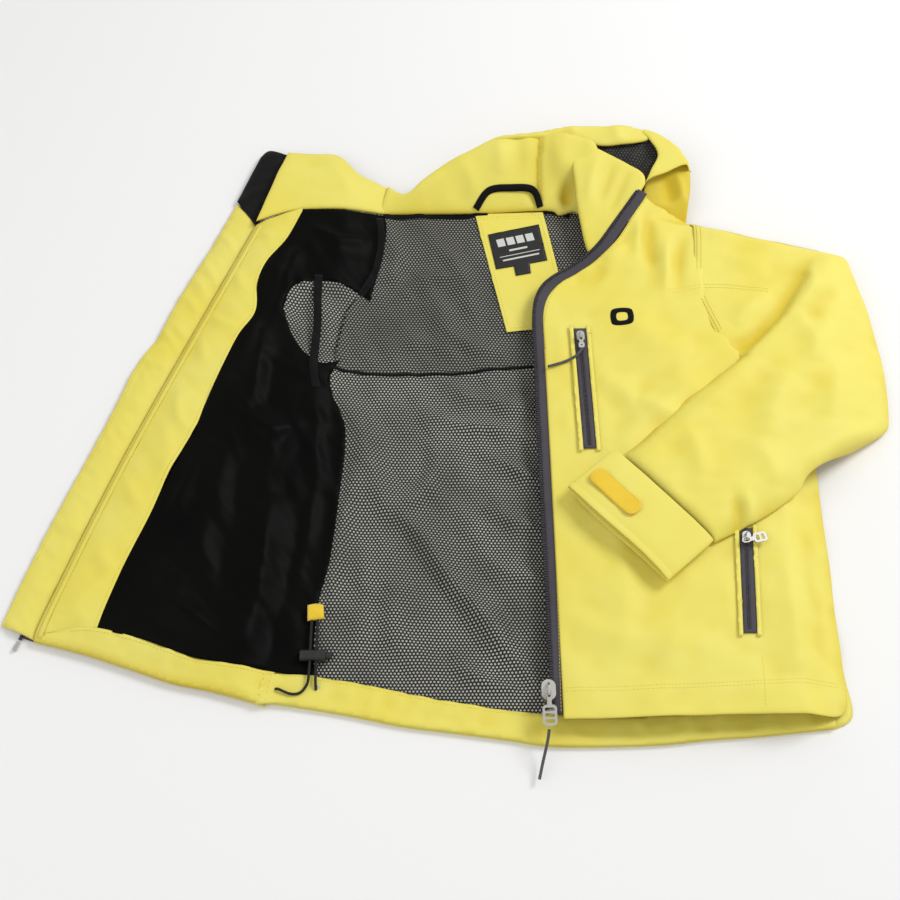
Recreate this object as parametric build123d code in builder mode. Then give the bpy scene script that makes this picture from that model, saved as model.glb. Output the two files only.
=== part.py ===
"""A hooded hardshell jacket lying on its back, its right front folded open and inside up.

+X is the wearer's left, +Y runs from hem to hood and +Z is up. The origin is on the ground under the
middle of the jacket. All sizes are in millimetres.
"""

from build123d import *
import math
import os

os.makedirs("parts", exist_ok=True)

# Driving dimensions
CLOTH = 1.2  # one layer of shell cloth, seams and facings pressed flat
NET = 0.9  # one layer of mesh lining
TAFFETA = 0.9  # one layer of woven lining
SKY = 120  # above everything, for cutting plan outlines

LINING_LIFT = 4.0  # gap from a shell's underside to the lining's on the open front
LINING_DROP = 4.5  # the same under the closed left front

FRONT_EDGE_Z = 21.3  # the left front's shell where it meets the zip
FRONT_DOME = 6.0  # how much higher the chest stands than the zip
FRONT_SIDE_X = 352.0  # the left side seam
OPEN_FLOOR = 1.5  # the open front's shell at its edges
OPEN_RISE = 13.0  # how much the sleeve folded under it lifts its middle
UNDER_CLOTH_Z = 2.6  # the pieces that lie straight on the back's shell
LINING_Z = 3.0  # the linings on the back

CUFF_HALF = 67.0  # half of a cuff laid flat
CUFF_LENGTH = 62.0
CUFF_HEIGHT = 14.0
CUFF_WALL = 1.4

CHAIN_WIDTH = 3.4  # one half of a number 8 zip chain
CHAIN_HEIGHT = 3.0
TAPE = 0.8
ZIP_Z = 20.0  # the main zip's tape

SLIDER_WIDTH = 13.0
SLIDER_LENGTH = 20.0
SLIDER_PLATE = 1.6

CORD = 2.6  # hem cord
PULL_CORD = 2.8  # braided cord on a zip pull


# The lines that the cloth's heights are measured from
FOLD_LOW = (-190.0, -330.0)  # the fold that the right front opens about
FOLD_HIGH = (-86.0, 250.0)
SEAM_LOW = (-400.0, -251.0)  # the seam of the right zip, under the wind flap
SEAM_MIDDLE = (-333.0, -50.0)
SEAM_HIGH = (-221.0, 230.0)

ARMHOLE = (-140.0, 100.0)  # middle of the right armhole
ARM_WAY = (-0.471, -0.882)  # from it towards the right cuff
ARM_SIDE = (0.882, -0.471)
ARM_LENGTH = 329.0
ARM_HALF = 56.0

FOREARM_CUFF = (146.0, -157.0)  # middle of the left cuff's edge
FOREARM_WAY = (0.743, 0.669)  # from the cuff towards the elbow
FOREARM_SIDE = (0.669, -0.743)  # across the forearm, towards the hem
CREASE_LOW = (153.0, -70.0)  # the bent sleeve's upper edge, from the cuff


def along(start, way, s, side=(0, 0), w=0.0):
    """A plan point s along a way from start, and w along its side."""
    return (start[0] + way[0] * s + side[0] * w, start[1] + way[1] * s + side[1] * w)


class Slope:
    """A sloping plane: its height at one plan point, and how it rises in one plan direction."""

    def __init__(self, point, towards, start, gradient):
        length = math.hypot(*towards)
        self.point = point
        self.rise = (towards[0] / length * gradient, towards[1] / length * gradient)
        self.start = start

    def at(self, x, y):
        return self.start + (x - self.point[0]) * self.rise[0] + (y - self.point[1]) * self.rise[1]

    def plane(self, lift):
        return Plane(origin=(*self.point, self.start + lift), z_dir=(-self.rise[0], -self.rise[1], 1))


class Drape:
    """How cloth lies: level at its top, down along slopes towards its edges, and no lower than its floor."""

    def __init__(self, top, *slopes, floor=0.0):
        self.top = top
        self.slopes = slopes
        self.floor = floor

    def at(self, x, y):
        """The height of the cloth's underside at a plan point."""
        return max(self.floor, min(self.top, *(slope.at(x, y) for slope in self.slopes)))


def normal(start, end):
    """The direction to the left of the line from start to end."""
    return (start[1] - end[1], end[0] - start[0])


OPEN_FRONT = Drape(
    OPEN_FLOOR + OPEN_RISE,
    Slope(along(SEAM_LOW, (-0.937, 0.349), 10), normal(SEAM_HIGH, SEAM_LOW), OPEN_FLOOR, 0.42),
    Slope(FOLD_LOW, normal(FOLD_LOW, FOLD_HIGH), OPEN_FLOOR, 0.4),
    Slope((-188, -314), normal((-400, -254), (-188, -314)), OPEN_FLOOR, 0.4),
    floor=OPEN_FLOOR,
)
HIDDEN_SLEEVE = Drape(
    9.6,
    Slope(along(ARMHOLE, ARM_SIDE, ARM_HALF), (-ARM_SIDE[0], -ARM_SIDE[1]), 2.0, 0.4),
    Slope(along(ARMHOLE, ARM_SIDE, -ARM_HALF), ARM_SIDE, 2.0, 0.4),
    floor=2.0,
)
CLOSED_FRONT = Drape(
    FRONT_EDGE_Z + FRONT_DOME,
    Slope((85, 0), (1, 0), FRONT_EDGE_Z, 0.05),
    Slope((FRONT_SIDE_X, 0), (-1, 0), 2.5, 0.6),
    Slope((240, 238), (-0.2665, -0.9638), 2.5, 1.1),
    floor=2.5,
)
SLEEVE_CAP = Drape(
    FRONT_EDGE_Z + FRONT_DOME,
    Slope((430, 0), (-1, 0), 2.5, 0.6),
    Slope((240, 238), (-0.2665, -0.9638), 2.5, 1.1),
    floor=2.5,
)
SLEEVE_UNDER = Drape(
    FRONT_EDGE_Z + FRONT_DOME + 3.5,
    Slope((85, 0), (1, 0), FRONT_EDGE_Z + 3.5, 0.05),
    Slope((386, 0), (-1, 0), 1.5, 0.75),
    floor=1.5,
)
SLEEVE_OVER = Drape(
    43.0,
    Slope(CREASE_LOW, (0.729, -0.685), 32.3, 0.5),
    Slope((242, -171), (-0.596, 0.803), 32.3, 0.5),
    Slope((436, 0), (-1, 0), 4.0, 0.6),
    floor=4.0,
)
BACK_COLLAR = Drape(
    43.0,
    Slope((0, 252), (0, 1), 9.5, 0.5),
    Slope((-88, 0), (1, 0), 10.0, 0.26),
    floor=7.0,
)
LEFT_COLLAR = Drape(43.0, Slope((140, 185), (0.564, 0.826), 22.5, 0.215))
RIGHT_COLLAR = Drape(
    12.0,
    Slope((0, 345), (0, -1), 4.0, 0.2),
    Slope(FOLD_LOW, normal(FOLD_LOW, FOLD_HIGH), 4.0, 0.3),
    floor=4.0,
)
HOOD = Drape(
    33.0,
    Slope((0, 360), (0, -1), 3.0, 1.3),
    Slope((222, 336), (-0.669, -0.743), 3.0, 1.3),
    Slope((254, 0), (-1, 0), 3.0, 1.3),
    floor=3.0,
)


# Building blocks
def cut(*stretches):
    """A closed plan outline of stretches: two points are a straight edge, and more are a curve.

    Straight edges join each stretch to the next where they don't meet."""
    with BuildSketch() as plan:
        with BuildLine():
            for stretch, following in zip(stretches, [*stretches[1:], stretches[0]]):
                if len(stretch) == 2:
                    Line(*stretch)
                elif len(stretch) > 2:
                    Spline(*stretch)
                if math.dist(stretch[-1], following[0]) > 0.001:
                    Line(stretch[-1], following[0])
        make_face()
    return plan.sketch


def strip(width, *path):
    """A plan band of a steady width along a straight or curved path."""
    with BuildSketch() as plan:
        with BuildLine() as line:
            if len(path) == 2:
                Line(*path)
            else:
                Spline(*path)
        trace(line.line, line_width=width)
    return plan.sketch


def below(drape, outline, lift):
    """The block from the ground up to a drape raised by lift."""
    with BuildPart() as block:
        extrude(to_extrude=outline, amount=drape.top + lift)
        for slope in drape.slopes:
            split(bisect_by=slope.plane(lift), keep=Keep.BOTTOM)
        if drape.floor + lift > 0:
            extrude(to_extrude=outline, amount=drape.floor + lift)
    return block.part


def sheet(drape, outline, thickness=CLOTH, lift=0.0, holes=()):
    """A panel of cloth of a plan outline, laid on a drape."""
    box = outline.bounding_box()
    with BuildSketch() as wide:
        with Locations(box.center()):
            Rectangle(box.size.X + 20, box.size.Y + 20)
    with BuildPart() as panel:
        add(below(drape, outline, lift + thickness))
        add(below(drape, wide.sketch, lift), mode=Mode.SUBTRACT)
        for hole in holes:
            extrude(to_extrude=hole, amount=SKY, mode=Mode.SUBTRACT)
    return panel.part


def flat(name, outline, bottom, thickness, holes=()):
    """A flat layer of a plan outline, written as one node."""
    with BuildPart() as layer:
        with BuildSketch(Plane.XY.offset(bottom)):
            add(outline)
            for hole in holes:
                add(hole, mode=Mode.SUBTRACT)
        extrude(amount=thickness)
    write(name, layer.part)


def write(name, solid):
    """Labels a finished piece and writes its STEP file."""
    solid.label = name
    export_step(solid, f"parts/{name}.step")


def fold_x(y, gap):
    """Where the fold of the right front is at a given y, plus a gap."""
    share = (y - FOLD_LOW[1]) / (FOLD_HIGH[1] - FOLD_LOW[1])
    return FOLD_LOW[0] + share * (FOLD_HIGH[0] - FOLD_LOW[0]) + gap


FOLD_GAP = 2.0  # each side of the fold is cut back by this

# Right armhole: the hole in the open front's cloth that the sleeve leaves through
armhole = cut(
    [(-185, 112), (-176, 140), (-146, 150), (-116, 146), (-96, 131), (-89, 108), (-95, 84), (-112, 66),
     (-145, 50), (-170, 72), (-185, 112)],
)


# Back
def build_back():
    """The back's shell, its lining, its hem and the pieces sewn inside the neck."""
    hem = [(fold_x(-313, FOLD_GAP), -313), (-127, -319), (-56, -335), (20, -346), (84, -354), (169, -354),
           (221, -349), (274, -345), (338, -337)]
    side = [(338, -337), (352, -331), (356, -318), (352, -283), (351, -222), (352, -174), (350, -125),
            (344, -60), (344, 40), (330, 120), (250, 236)]
    neck = [(250, 236), (130, 251), (15, 246), (fold_x(244, FOLD_GAP), 244)]
    fold = [(fold_x(244, FOLD_GAP), 244), (fold_x(-313, FOLD_GAP), -313)]
    flat("back_shell", cut(hem, side, neck, fold), 0, CLOTH)

    lining_low = [(-137, -288), (-98, -294), (-12, -312), (54, -322), (93, -325), (171, -323), (338, -312)]
    hem_inside = [(338, -312), (171, -323), (93, -325), (54, -322), (-12, -312), (-98, -294), (-137, -288),
                  (fold_x(-284, FOLD_GAP), -284)]
    hem_left = [(fold_x(-284, FOLD_GAP), -284), (fold_x(-313, FOLD_GAP), -313)]
    facing = cut(hem, [(338, -337), (338, -312)], hem_inside, hem_left)
    with BuildSketch() as eyelet_holes:
        with Locations(*EYELETS):
            Circle(EYELET_HOLE)
    flat("back_hem_facing", facing, UNDER_CLOTH_Z, CLOTH, [eyelet_holes.sketch])

    lower = cut([(-136, -286.5), (-98, -292.5), (-12, -310.5), (54, -320.5), (93, -323.5), (171, -321.5),
                 (337, -310.5)], [(337, -310.5), (337, 49)], [(337, 49), (39, 50), (-22, 44), (-84, 43),
                 (-119, 48)], [(-119, 48), (-116, -26), (-119, -106), (-134, -213), (-136, -286.5)])
    flat("back_mesh_lower", lower, LINING_Z, NET)
    upper = cut([(-119, 50), (-84, 45), (-22, 46), (39, 52), (337, 51)], [(337, 51), (326, 118),
                (300, 160), (246, 228)], [(246, 228), (130, 247), (15, 243), (-84, 241)],
                [(-84, 241), (-119, 50)])
    flat("back_mesh_upper", upper, LINING_Z, NET, [armhole])
    side_lining = cut([(fold_x(-282, FOLD_GAP), -282), (-139, -286)],
                      [(-139, -286), (-137.5, -213), (-123, -106), (-121, -40)],
                      [(-121, -40), (fold_x(-10, FOLD_GAP), -10)],
                      [(fold_x(-10, FOLD_GAP), -10), (fold_x(-282, FOLD_GAP), -282)])
    flat("side_lining", side_lining, LINING_Z, TAFFETA)

    facing = cut([(15, 242), (89, 245)], [(89, 245), (103, 172), (114, 101)],
                 [(114, 101), (78, 97), (47, 93)], [(47, 93), (15, 242)])
    flat("neck_facing", facing, 4.6, CLOTH)
    label = cut([(29, 219), (84, 233)], [(84, 233), (92, 185)], [(92, 185), (37, 173)], [(37, 173), (29, 219)])
    tab = cut([(57, 176), (71, 179)], [(71, 179), (73, 168)], [(73, 168), (59, 165)], [(59, 165), (57, 176)])
    with BuildPart() as labels:
        with BuildSketch(Plane.XY.offset(6.1)):
            add(label)
            add(tab)
        extrude(amount=0.7)
    write("woven_label", labels.part)


HANGER = [(16, 251), (30, 268), (54, 271), (78, 269), (86, 253)]
HANGER_BAND = 6.5


def build_hanger():
    """The hanging loop: a narrow band that lies over the back collar between its two sewn ends."""
    band = strip(HANGER_BAND, *HANGER)
    write("hanger_loop", sheet(BACK_COLLAR, band, 1.0, 2.3))


EYELETS = [(-172, -301), (-135, -302)]
EYELET_HOLE = 2.4
EYELET_FLANGE = 4.9


def build_hem_cord():
    """The hem's draw cord, its eyelets, its cordlock and the tab that anchors it."""
    with BuildPart() as eyelets:
        with BuildSketch(Plane.XY.offset(3.9)):
            with Locations(*EYELETS):
                Circle(EYELET_FLANGE)
                Circle(EYELET_HOLE, mode=Mode.SUBTRACT)
        extrude(amount=0.8)
        chamfer(eyelets.edges().group_by(Axis.Z)[-1], 0.25)
    write("hem_eyelets", eyelets.part)

    cord_tube("hem_drawcord", HEM_CORD, CORD)

    lock = (LOCK_X, LOCK_Y, LOCK_Z)
    barrel_plane = Plane(origin=lock, x_dir=(0, 1, 0), z_dir=(1, 0, 0))
    with BuildPart() as barrel:
        with BuildSketch(barrel_plane.offset(-LOCK_LENGTH / 2)):
            SlotOverall(LOCK_DEEP + 1.5, LOCK_DEEP)
        extrude(amount=LOCK_LENGTH)
        fillet(barrel.edges().group_by(Axis.X)[0], 1.2)
        with BuildSketch(barrel_plane.offset(-LOCK_LENGTH / 2 + 2)):
            Circle(PLUNGER_RADIUS + 0.3)
        extrude(amount=LOCK_LENGTH, mode=Mode.SUBTRACT)
        extrude(to_extrude=cord_gap(lock, CORD_GAP), amount=20, both=True, mode=Mode.SUBTRACT)
    write("cordlock_barrel", barrel.part)

    with BuildPart() as plunger:
        with BuildSketch(barrel_plane.offset(-LOCK_LENGTH / 2 + 2 + SPRING_ROOM)):
            Circle(PLUNGER_RADIUS)
        extrude(amount=LOCK_LENGTH - 2 - SPRING_ROOM + PLUNGER_OUT)
        fillet(plunger.edges().group_by(Axis.X)[-1], 1.0)
        extrude(to_extrude=cord_gap((LOCK_X + PRESS / 2, LOCK_Y, LOCK_Z), CORD_GAP + PRESS), amount=20,
                both=True, mode=Mode.SUBTRACT)
    write("cordlock_plunger", plunger.part)

    with BuildPart() as spring:
        with BuildLine():
            coil = Helix(pitch=1.4, height=SPRING_ROOM - 1.0, radius=PLUNGER_RADIUS - 1.0,
                         center=(LOCK_X - LOCK_LENGTH / 2 + 2.5, LOCK_Y, LOCK_Z), direction=(1, 0, 0))
        with BuildSketch(coil ^ 0):
            Circle(0.3)
        sweep()
    write("cordlock_spring", spring.part)

    tab = cut([(-146, -219), (-138, -217)], [(-138, -217), (-131, -218)], [(-131, -218), (-129.5, -233)],
              [(-129.5, -233), (-145.5, -235)], [(-145.5, -235), (-146, -219)])
    with BuildPart() as loop_tab:
        with BuildSketch(Plane.XY.offset(4.2)):
            add(tab)
        extrude(amount=7.0)
        with BuildSketch(Plane.XY.offset(5.4)):
            with Locations((TAB_X, -222.5)):
                Rectangle(11.5, 26, align=(Align.CENTER, Align.MAX))
        extrude(amount=4.6, mode=Mode.SUBTRACT)
    write("drawcord_tab", loop_tab.part)


LOCK_X = -139.0
LOCK_Y = -270.0
LOCK_Z = 9.6
LOCK_LENGTH = 24.0
LOCK_DEEP = 9.2
PLUNGER_RADIUS = 3.2
PLUNGER_OUT = 6.0
PRESS = 4.0
SPRING_ROOM = 5.4
CORD_GAP = 10.2  # width of the gap that both strands of cord pass through
TAB_X = -138.0
STRAND_A = -141.4
STRAND_B = -135.6
HEM_CORD = [
    (-172, -301, 4.9), (-170.5, -301.6, 8.2), (-165, -304.5, 8.6), (-157, -307.6, 8.0), (-149, -306.4, 7.8),
    (-143.6, -300, 8.6), (STRAND_A, -292, LOCK_Z), (STRAND_A, -239, LOCK_Z), (STRAND_A + 0.3, -231, 8.2),
    (STRAND_A + 0.5, -225.2, 7.3), (STRAND_B - 0.5, -225.1, 7.3), (STRAND_B - 0.3, -231, 8.2),
    (STRAND_B, -239, LOCK_Z), (STRAND_B, -291, LOCK_Z), (-135.3, -298.5, 8.2), (-135, -301.9, 4.9),
]


def cord_gap(centre, width):
    """The outline of the gap, along Y, that the two strands of the hem's cord run through."""
    with BuildSketch(Plane(origin=centre, x_dir=(1, 0, 0), z_dir=(0, -1, 0))) as gap:
        SlotOverall(width, CORD + 1.0)
    return gap.sketch


def turn_radius(before, corner, after):
    """The radius of a cord's bend: as large as its two runs allow."""
    into = Vector(*corner) - Vector(*before)
    out = Vector(*after) - Vector(*corner)
    turn = math.radians(into.get_angle(out))
    return 0.45 * min(into.length, out.length) / math.tan(turn / 2)


def cord_tube(name, route, diameter):
    """A cord as a round tube along straight runs joined by tangent arcs."""
    radii = [turn_radius(*route[i - 1:i + 2]) for i in range(1, len(route) - 1)]
    with BuildPart() as tube:
        with BuildLine():
            path = FilletPolyline(*route, radius=radii)
        with BuildSketch(path ^ 0):
            Circle(diameter / 2)
        sweep()
    expected = math.pi * diameter ** 2 / 4 * path.length
    print(name, "length", round(path.length, 1), "radii", [round(r, 1) for r in radii],
          "volume share", round(tube.part.volume / expected, 3))
    write(name, tube.part)


# Open right front
def build_open_front():
    """The right front: shell, lining, facings, wind flap and chin guard, all lying inside up."""
    seam = [SEAM_LOW, SEAM_MIDDLE, SEAM_HIGH]
    hem = [(fold_x(-312, -FOLD_GAP), -312), (-231, -302), (-268, -294), (-306, -281), (-351, -266), SEAM_LOW]
    neck = [SEAM_HIGH, (-171, 243), (fold_x(243, -FOLD_GAP), 243)]
    fold = [(fold_x(243, -FOLD_GAP), 243), (fold_x(-312, -FOLD_GAP), -312)]
    write("right_front_shell", sheet(OPEN_FRONT, cut(hem, seam, neck, fold), holes=[armhole]))

    border = [(-171, 240), (-191, 193), (-213, 147), (-214, 107), (-246, 29), (-265, -29), (-301, -130),
              (-340, -246)]
    facing = cut(seam, [(-171, 242)], [(x - 1, y) for x, y in border], [(-342, -246.5), (-366, -244), (-397, -247)])
    write("right_front_facing", sheet(OPEN_FRONT, facing, lift=LINING_LIFT))

    low = [(-339, -246), (-298, -257), (-265, -270), (-239, -277), (fold_x(-281, -FOLD_GAP), -281)]
    lining = cut([(x + 1, y) for x, y in border], low,
                 [(fold_x(-281, -FOLD_GAP), -281), (fold_x(240, -FOLD_GAP), 240)],
                 [(fold_x(240, -FOLD_GAP), 240), (-170, 240)])
    write("right_front_lining", sheet(OPEN_FRONT, lining, TAFFETA, LINING_LIFT, [armhole]))

    hem_inside = [(fold_x(-283, -FOLD_GAP), -283), (-239, -279), (-265, -272), (-298, -259), (-341, -248.5),
                  (-366, -246), (-397, -249.5)]
    facing = cut(hem_inside, [(-397, -249.5), (-399, -252)],
                 [(-399, -252), (-351, -267), (-306, -282), (-268, -295), (-231, -303),
                  (fold_x(-313, -FOLD_GAP), -313)],
                 [(fold_x(-313, -FOLD_GAP), -313), (fold_x(-283, -FOLD_GAP), -283)])
    write("right_hem_facing", sheet(OPEN_FRONT, facing, lift=LINING_LIFT))

    seam_out = [(x - 1.5, y) for x, y in seam]
    flap_edge = [(-245, 265), (-268, 206), (-299, 134), (-315, 90), (-336, 49), (-355, -8), (-386, -93),
                 (-409, -158), (-433, -237)]
    flap = cut(seam_out, [(-222.5, 230), (-245, 265)], flap_edge, [(-433, -237), (-401.5, -251)])
    flat("right_wind_flap", flap, 3.6, 1.6)
    guard = cut([(-244, 266.5), (-223, 327)], [(-223, 327), (-218, 336), (-210, 338), (-190, 331)],
                [(-190, 331), (-220.5, 232.5)], [(-220.5, 232.5), (-244, 266.5)])
    flat("chin_guard", guard, 4.2, 2.0)
    collar = cut([(-188, 331), (-135, 326), (-110, 300), (-86, 289)],
                 [(-86, 289), (fold_x(246, -FOLD_GAP), 246)],
                 [(fold_x(246, -FOLD_GAP), 246), (-171, 247), (-218, 233.5)], [(-218, 233.5), (-188, 331)])
    write("right_collar", sheet(RIGHT_COLLAR, collar, 2.0, 3.0))

    tape_line = [(x - 6.5, y) for x, y in seam]
    flat("right_zip_tape", strip(11, *tape_line), 0.9, TAPE)
    chain_line = [(x - 14.4, y) for x, y in seam]
    flat("right_zip_chain", strip(CHAIN_WIDTH - 1, *chain_line), 0.2, CHAIN_HEIGHT - 0.2)
    with BuildPart() as pin:
        with BuildSketch(Plane(origin=(SEAM_LOW[0] - 16.6, SEAM_LOW[1] - 6.5, 0.3), x_dir=(0.94, -0.34, 0))):
            RectangleRounded(3.2, 10, 1.4)
        extrude(amount=2.4)
    write("right_zip_pin", pin.part)


def build_hidden_sleeve():
    """The right sleeve, lying flat under the open front, with its mesh lining and cuff."""
    start = 38  # from the armhole's middle
    end = ARM_LENGTH - CUFF_LENGTH - 1

    def corners(inset):
        half = ARM_HALF - inset
        a = along(ARMHOLE, ARM_WAY, start, ARM_SIDE, -half)
        b = along(ARMHOLE, ARM_WAY, end, ARM_SIDE, -half)
        c = along(ARMHOLE, ARM_WAY, end, ARM_SIDE, half)
        d = along(ARMHOLE, ARM_WAY, start + 135, ARM_SIDE, half)
        e = along(ARMHOLE, ARM_WAY, start, ARM_SIDE, 12)
        return cut([a, b], [b, c], [c, d], [d, e], [e, a])

    write("right_sleeve_upper", sheet(HIDDEN_SLEEVE, corners(0)))
    flat("right_sleeve_lower", corners(0.5), 0.3, CLOTH)
    lining = cut([(-187, 112), (-178, 146), (-146, 154), (-122, 148)], [(-122, 148), (fold_x(60, -4), 60)],
                 [(fold_x(60, -4), 60), (-150, 20), (-196, 20)], [(-196, 20), (-187, 112)])
    flat("right_sleeve_lining", lining, 2.0, NET)
    cuff_end = along(ARMHOLE, ARM_WAY, ARM_LENGTH)
    cuff_ring("right_cuff", cuff_end, ARM_SIDE, (-ARM_WAY[0], -ARM_WAY[1]), ARM_HALF + 4, 0.3, 10.4)


def cuff_ring(name, edge, side, way, half, bottom, height):
    """A cuff laid flat: a flattened ring from its edge towards the elbow."""
    plane = Plane(origin=(*edge, bottom + height / 2), x_dir=(*side, 0), z_dir=(*way, 0))
    with BuildPart() as cuff:
        with BuildSketch(plane):
            SlotOverall(2 * half, height)
            SlotOverall(2 * half - 2 * CUFF_WALL, height - 2 * CUFF_WALL, mode=Mode.SUBTRACT)
        extrude(amount=CUFF_LENGTH)
    write(name, cuff.part)


# Left front
ZIP_LOW = (86.5, -331.0)  # the straight part of the left zip's tape
ZIP_HIGH = (80.5, 62.0)
ZIP_RUN = math.dist(ZIP_LOW, ZIP_HIGH)
ZIP_WAY = ((ZIP_HIGH[0] - ZIP_LOW[0]) / ZIP_RUN, (ZIP_HIGH[1] - ZIP_LOW[1]) / ZIP_RUN)
ZIP_SIDE = (ZIP_WAY[1], -ZIP_WAY[0])  # from the teeth towards the shell
ZIP_NECK = [(80.5, 63.0), (79.5, 98), (82, 121), (89, 137), (100, 149), (117, 159), (134, 172)]
ZIP_COLLAR = [(135, 173), (152, 191), (173, 222), (193, 249)]


def zip_edge(offset, shift=0.0):
    """The straight part of the zip's line, moved towards the shell."""
    return [along(ZIP_LOW, ZIP_WAY, shift, ZIP_SIDE, offset), along(ZIP_HIGH, ZIP_WAY, 0, ZIP_SIDE, offset)]


def build_left_front():
    """The closed left front: shell, facing behind the zip and lining."""
    neck_edge = [(85, 62), (84.3, 98), (87, 118), (93, 132), (104, 144), (121, 154), (137, 167), (157, 187),
                 (178, 218), (199, 247)]
    armhole_seam = [(246, 231), (246, 204), (240, 137), (243, 117), (262, 64)]
    hem = [(351, -300), (338, -326), (246, -330), (142, -333), (91, -333)]
    shell = cut([(91, -333), (85, 62)], neck_edge, [(199, 247), (222, 243), (246, 231)], armhole_seam,
                [(262, 64), (300, 40), (350, 30)], [(350, 30), (350, -125), (351, -222), (351, -300)], hem)
    write("left_front_shell", sheet(CLOSED_FRONT, shell))
    facing = cut([(95, -330), (91, 90)], [(91, 90), (140, 90)], [(140, 90), (143, -330)],
                 [(143, -330), (95, -330)])
    write("left_front_facing", sheet(CLOSED_FRONT, facing, CLOTH, -LINING_DROP - 1))
    lining = cut([(145, -312), (142, 90)], [(142, 90), (200, 170), (228, 190)],
                 [(228, 190), (228, 137), (255, 50)],
                 [(255, 50), (322, 26)], [(322, 26), (322, -308)], [(322, -308), (145, -312)])
    write("left_front_lining", sheet(CLOSED_FRONT, lining, NET, -LINING_DROP - 1))


def build_main_zip():
    """The left half of the main zip, its retaining box, its slider and its pull."""
    with BuildPart() as tape:
        with BuildSketch(Plane.XY.offset(ZIP_Z)):
            add(strip(11, *zip_edge(1.5)))
        extrude(amount=TAPE)
        with BuildSketch(Plane.XY.offset(ZIP_Z)):
            add(strip(7, *ZIP_NECK))
        extrude(amount=TAPE)
        add(sheet(LEFT_COLLAR, strip(7, *ZIP_COLLAR), TAPE, 0.4))
    write("left_zip_tape", tape.part)

    with BuildPart() as chain:
        with BuildSketch(Plane.XY.offset(ZIP_Z - 1.1)):
            add(strip(CHAIN_WIDTH, *zip_edge(-5.9, 11)))
        extrude(amount=CHAIN_HEIGHT)
    write("left_zip_chain", chain.part)

    box_centre = along(ZIP_LOW, ZIP_WAY, 4, ZIP_SIDE, -6.6)
    with BuildPart() as box:
        with BuildSketch(Plane(origin=(*box_centre, ZIP_Z - 1.8), x_dir=(*ZIP_SIDE, 0))):
            RectangleRounded(5.2, 9, 1)
        extrude(amount=4.4)
        fillet(box.edges().group_by(Axis.Z)[-1], 0.5)
    write("zip_retaining_box", box.part)

    slider("main_slider", MAIN_SLIDER, ZIP_SIDE)
    pull("main_pull", MAIN_PIN, drooping((-ZIP_WAY[0], -ZIP_WAY[1])), 13, 19, 12, 3)
    cord_tube("main_pull_cord", MAIN_CORD, PULL_CORD)


SLIDER_OFFSET = -8.9  # the slider's middle, from the zip's line
SLIDER_START = 22.0  # how far up the zip the slider stands
MAIN_POST = 6.2  # from a slider's middle to the post that its pull hangs on
EYE_REACH = 2.9  # from that post to the pin the pull turns about, under the bridge
PIN_RISE = 3.0  # from a slider's top plate up to that pin
MAIN_HALF_GAP = 2.2  # from the slider's middle to the inside of each plate
SLIDER_Z = ZIP_Z + 0.4
MAIN_SLIDER = (*along(ZIP_LOW, ZIP_WAY, SLIDER_START, ZIP_SIDE, SLIDER_OFFSET), SLIDER_Z)
MAIN_PIN = (*along(ZIP_LOW, ZIP_WAY, SLIDER_START - MAIN_POST + EYE_REACH, ZIP_SIDE, SLIDER_OFFSET),
            SLIDER_Z + MAIN_HALF_GAP + SLIDER_PLATE + PIN_RISE)
DROOP = math.radians(8)  # how far a pull's tip hangs below level
MAIN_CORD = [(76.7, -346.5, 23.2), (76.2, -351, 21.0), (74.8, -357.5, 17.0), (73.0, -364.5, 12.4),
             (71.0, -372, 8.8), (69.4, -379, 7.2), (67.6, -387, 6.6)]


def drooping(way):
    """The direction of a pull that hangs a little below level."""
    return (way[0] * math.cos(DROOP), way[1] * math.cos(DROOP), -math.sin(DROOP))


def bridge(plane, post, base):
    """The side outline of the bridge on a slider: a post, a bar over the pull's eye and a far leg."""
    low = base - 0.2
    with BuildSketch(Plane(origin=plane.origin, x_dir=plane.y_dir, z_dir=plane.x_dir)) as outline:
        with BuildLine():
            Polyline((-post - 0.9, low), (-post - 0.9, base + 5.4), (-post + 0.6, base + 6.9),
                     (0.3 * post, base + 6.9), (post, base + 2.5), (post, low), (post - 1.8, low),
                     (post - 1.8, base + 2.2), (0.25 * post, base + 5.5), (-post + 0.9, base + 5.5),
                     (-post + 0.9, low), (-post - 0.9, low))
        make_face()
    return outline.sketch


BRIDGE_WIDTH = 1.8


def slider(name, centre, side):
    """The main zip's slider: two plates joined by a post and a side wall, with the bridge on top."""
    plane = Plane(origin=centre, x_dir=(*side, 0), z_dir=(0, 0, 1))
    with BuildPart() as body:
        for bottom in (MAIN_HALF_GAP, -MAIN_HALF_GAP - SLIDER_PLATE):
            with BuildSketch(plane.offset(bottom)):
                SlotOverall(SLIDER_LENGTH, SLIDER_WIDTH, rotation=90)
            extrude(amount=SLIDER_PLATE)
        with BuildSketch(plane.offset(-MAIN_HALF_GAP)):
            with Locations((0, 0.36 * SLIDER_LENGTH)):
                Circle(1.0)
            with Locations((-SLIDER_WIDTH / 2 + 0.6, 0)):
                Rectangle(1.2, 9)
        extrude(amount=2 * MAIN_HALF_GAP)
        extrude(to_extrude=bridge(plane, MAIN_POST, MAIN_HALF_GAP + SLIDER_PLATE), amount=BRIDGE_WIDTH / 2,
                both=True)
    write(name, body.part)


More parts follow.
